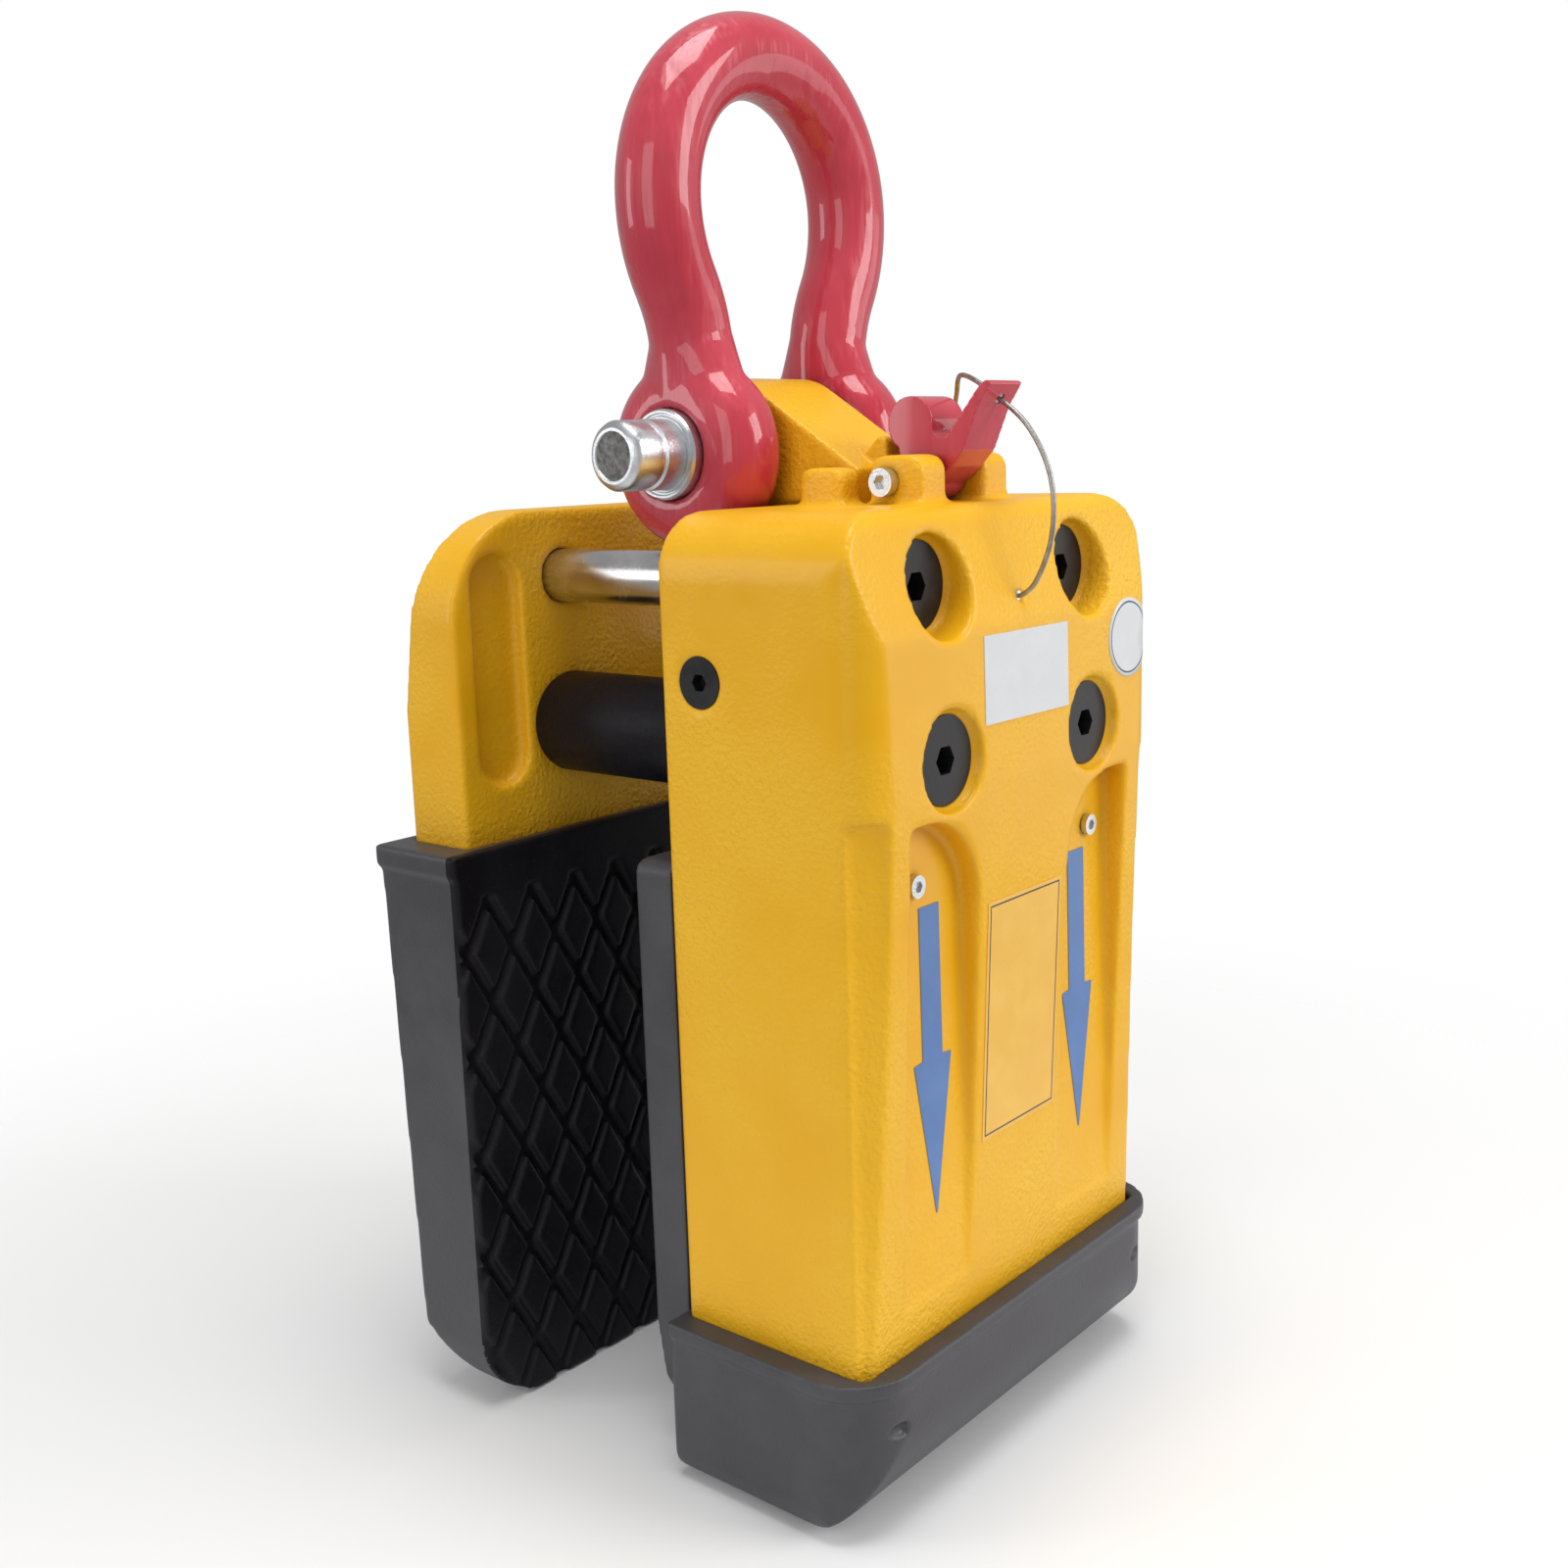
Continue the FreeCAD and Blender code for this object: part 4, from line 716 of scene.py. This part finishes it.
# Shackle pin: zinc plated, with a waist behind its knob, a flat far head, and a dark
# sawn end inside a bright rim.
knob_end, sawn_radius = 87.3, 8.0
pin_outline = [(-87.5, 9.0), (-88.0, 9.3), (-88.0, 10.4), (-86.7, 12.4), (-85.2, 13.2), (-75.0, 13.2),
               (-74.2, 12.5), (-72.2, 12.5), (-71.5, 13.5), (62.0, 13.5), (62.0, 20.2), (62.8, 21.0),
               (72.2, 21.0), (73.0, 20.2)]
pin = turned("knobbed_pin", pin_axis, along_x, pin_outline, "solid")
stands_for(pin, "shackle_pin", "shackle", zinc)
sawn_end = worn_finish("sawn_end", (0.15, 0.15, 0.145), (0.46, 0.45, 0.43), roughness=0.5,
                       spread=0.2, scale=320.0, depth=0.0005, metallic=0.3)
pin.data.materials.append(sawn_end)
for face in pin.data.polygons:
    from_axis = face.center - pin_axis
    if from_axis.x < -knob_end * MM and from_axis.yz.length < sawn_radius * MM:
        face.material_index = 1


# Stickers: thin printed vinyl on the casting. Two blue arrows point down the scoops, and
# a white plate, a yellow plate with a thin border and a round badge lie on the face.
film_thickness = 0.0006
film_start = -112.0
same_level = 0.00001
arrow_middle = 52.0
arrow_sections = [(143.0, 6.25), (201.0, 6.25), (201.6, 11.75), (262.0, 0.3)]
white_half, white_top, white_foot = 29.0, 47.0, 79.5
notice_half, notice_top, notice_foot = 26.0, 147.0, 242.0
border_edge, border_width = 1.4, 0.7
border_middle, border_reach = 1.75, 0.3
badge_radii = (16.0, 14.6, 13.9, 10.5, 7.0, 3.5)
ring_inner, ring_outer = 14.0, 14.5


def laid_on(piece):
    # drop the flat outline onto the casting and give it the film's thickness
    deselect_all()
    piece.select_set(True)
    bpy.context.view_layer.objects.active = piece
    wrap = piece.modifiers.new("laid", "SHRINKWRAP")
    wrap.target = housing_casting
    wrap.wrap_method = "PROJECT"
    wrap.use_project_y = True
    wrap.use_positive_direction = True
    wrap.use_negative_direction = False
    bpy.ops.object.modifier_apply(modifier=wrap.name)
    film = piece.modifiers.new("film", "SOLIDIFY")
    film.thickness = film_thickness
    film.offset = 0.0
    bpy.ops.object.modifier_apply(modifier=film.name)
    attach(piece, "housing")


def strip(name, x, sections, border):
    # sections holds (drop from the top, half width) in millimetres, and border the
    # widths of its insets
    deselect_all()
    (top, half), (foot, _) = sections[:2]
    bpy.ops.mesh.primitive_plane_add(size=1.0, location=place(x, film_start, -(top + foot) / 2),
                                     rotation=(quarter_turn, 0.0, 0.0))
    piece = bpy.context.object
    piece.name = name
    piece.scale = (2 * half * MM, (foot - top) * MM, 1.0)
    bpy.ops.object.transform_apply(location=True, rotation=True, scale=True)
    bpy.ops.object.mode_set(mode="EDIT")
    for drop, next_half in sections[2:]:
        bpy.ops.mesh.select_all(action="DESELECT")
        mesh = bmesh.from_edit_mesh(piece.data)
        level = min(vertex.co.z for vertex in mesh.verts)
        for vertex in mesh.verts:
            vertex.select = abs(vertex.co.z - level) < same_level
        mesh.select_flush(True)
        bmesh.update_edit_mesh(piece.data)
        step = (0.0, 0.0, -(drop - foot) * MM)
        bpy.ops.mesh.extrude_region_move(TRANSFORM_OT_translate={"value": step})
        bpy.ops.transform.resize(value=(next_half / half, 1.0, 1.0),
                                 center_override=place(x, film_start, -drop))
        foot, half = drop, next_half
    bpy.ops.mesh.select_all(action="SELECT")
    for width in border:
        bpy.ops.mesh.inset(thickness=width * MM)
    bpy.ops.mesh.select_all(action="SELECT")
    bpy.ops.mesh.subdivide(number_cuts=5)
    bpy.ops.object.mode_set(mode="OBJECT")
    return piece


def vinyl(name, colour, light, roughness):
    return worn_finish(name, colour, light, roughness, spread=0.12, scale=60.0, depth=0.00006,
                       metallic=0.0)


arrow_blue = vinyl("arrow_blue", (0.08, 0.18, 0.43), (0.10, 0.21, 0.48), roughness=0.34)
badge_white = vinyl("badge_white", (0.62, 0.63, 0.64), (0.68, 0.69, 0.70), roughness=0.30)
border_dark = vinyl("border_dark", (0.02, 0.03, 0.045), (0.03, 0.04, 0.06), roughness=0.34)
plate_yellow = vinyl("plate_yellow", (0.82, 0.46, 0.055), (0.86, 0.51, 0.08), roughness=0.30)
for name, x in (("arrow_near", -arrow_middle), ("arrow_far", arrow_middle)):
    arrow = strip(name, x, arrow_sections, ())
    dress(arrow, arrow_blue)
    laid_on(arrow)

white_plate = strip("bare_plate", 0.0, [(white_top, white_half), (white_foot, white_half)], ())
dress(white_plate, badge_white)
laid_on(white_plate)

yellow_plate = strip("bare_notice", 0.0, [(notice_top, notice_half), (notice_foot, notice_half)],
                     (border_edge, border_width))
dress(yellow_plate, plate_yellow)
yellow_plate.data.materials.append(border_dark)
plate_low = place(-notice_half, 0.0, -notice_foot)
plate_high = place(notice_half, 0.0, -notice_top)
for face in yellow_plate.data.polygons:
    inside = min(face.center.x - plate_low.x, plate_high.x - face.center.x,
                 face.center.z - plate_low.z, plate_high.z - face.center.z) / MM
    if abs(inside - border_middle) < border_reach:
        face.material_index = 1
laid_on(yellow_plate)

badge_centre = place(77.0, film_start, -58.0)
badge = turned("bare_badge", badge_centre, along_y, [(0.0, radius) for radius in badge_radii], "disc")
dress(badge, badge_white)
badge.data.materials.append(border_dark)
for face in badge.data.polygons:
    if ring_inner * MM < (face.center - badge_centre).length < ring_outer * MM:
        face.material_index = 1
laid_on(badge)
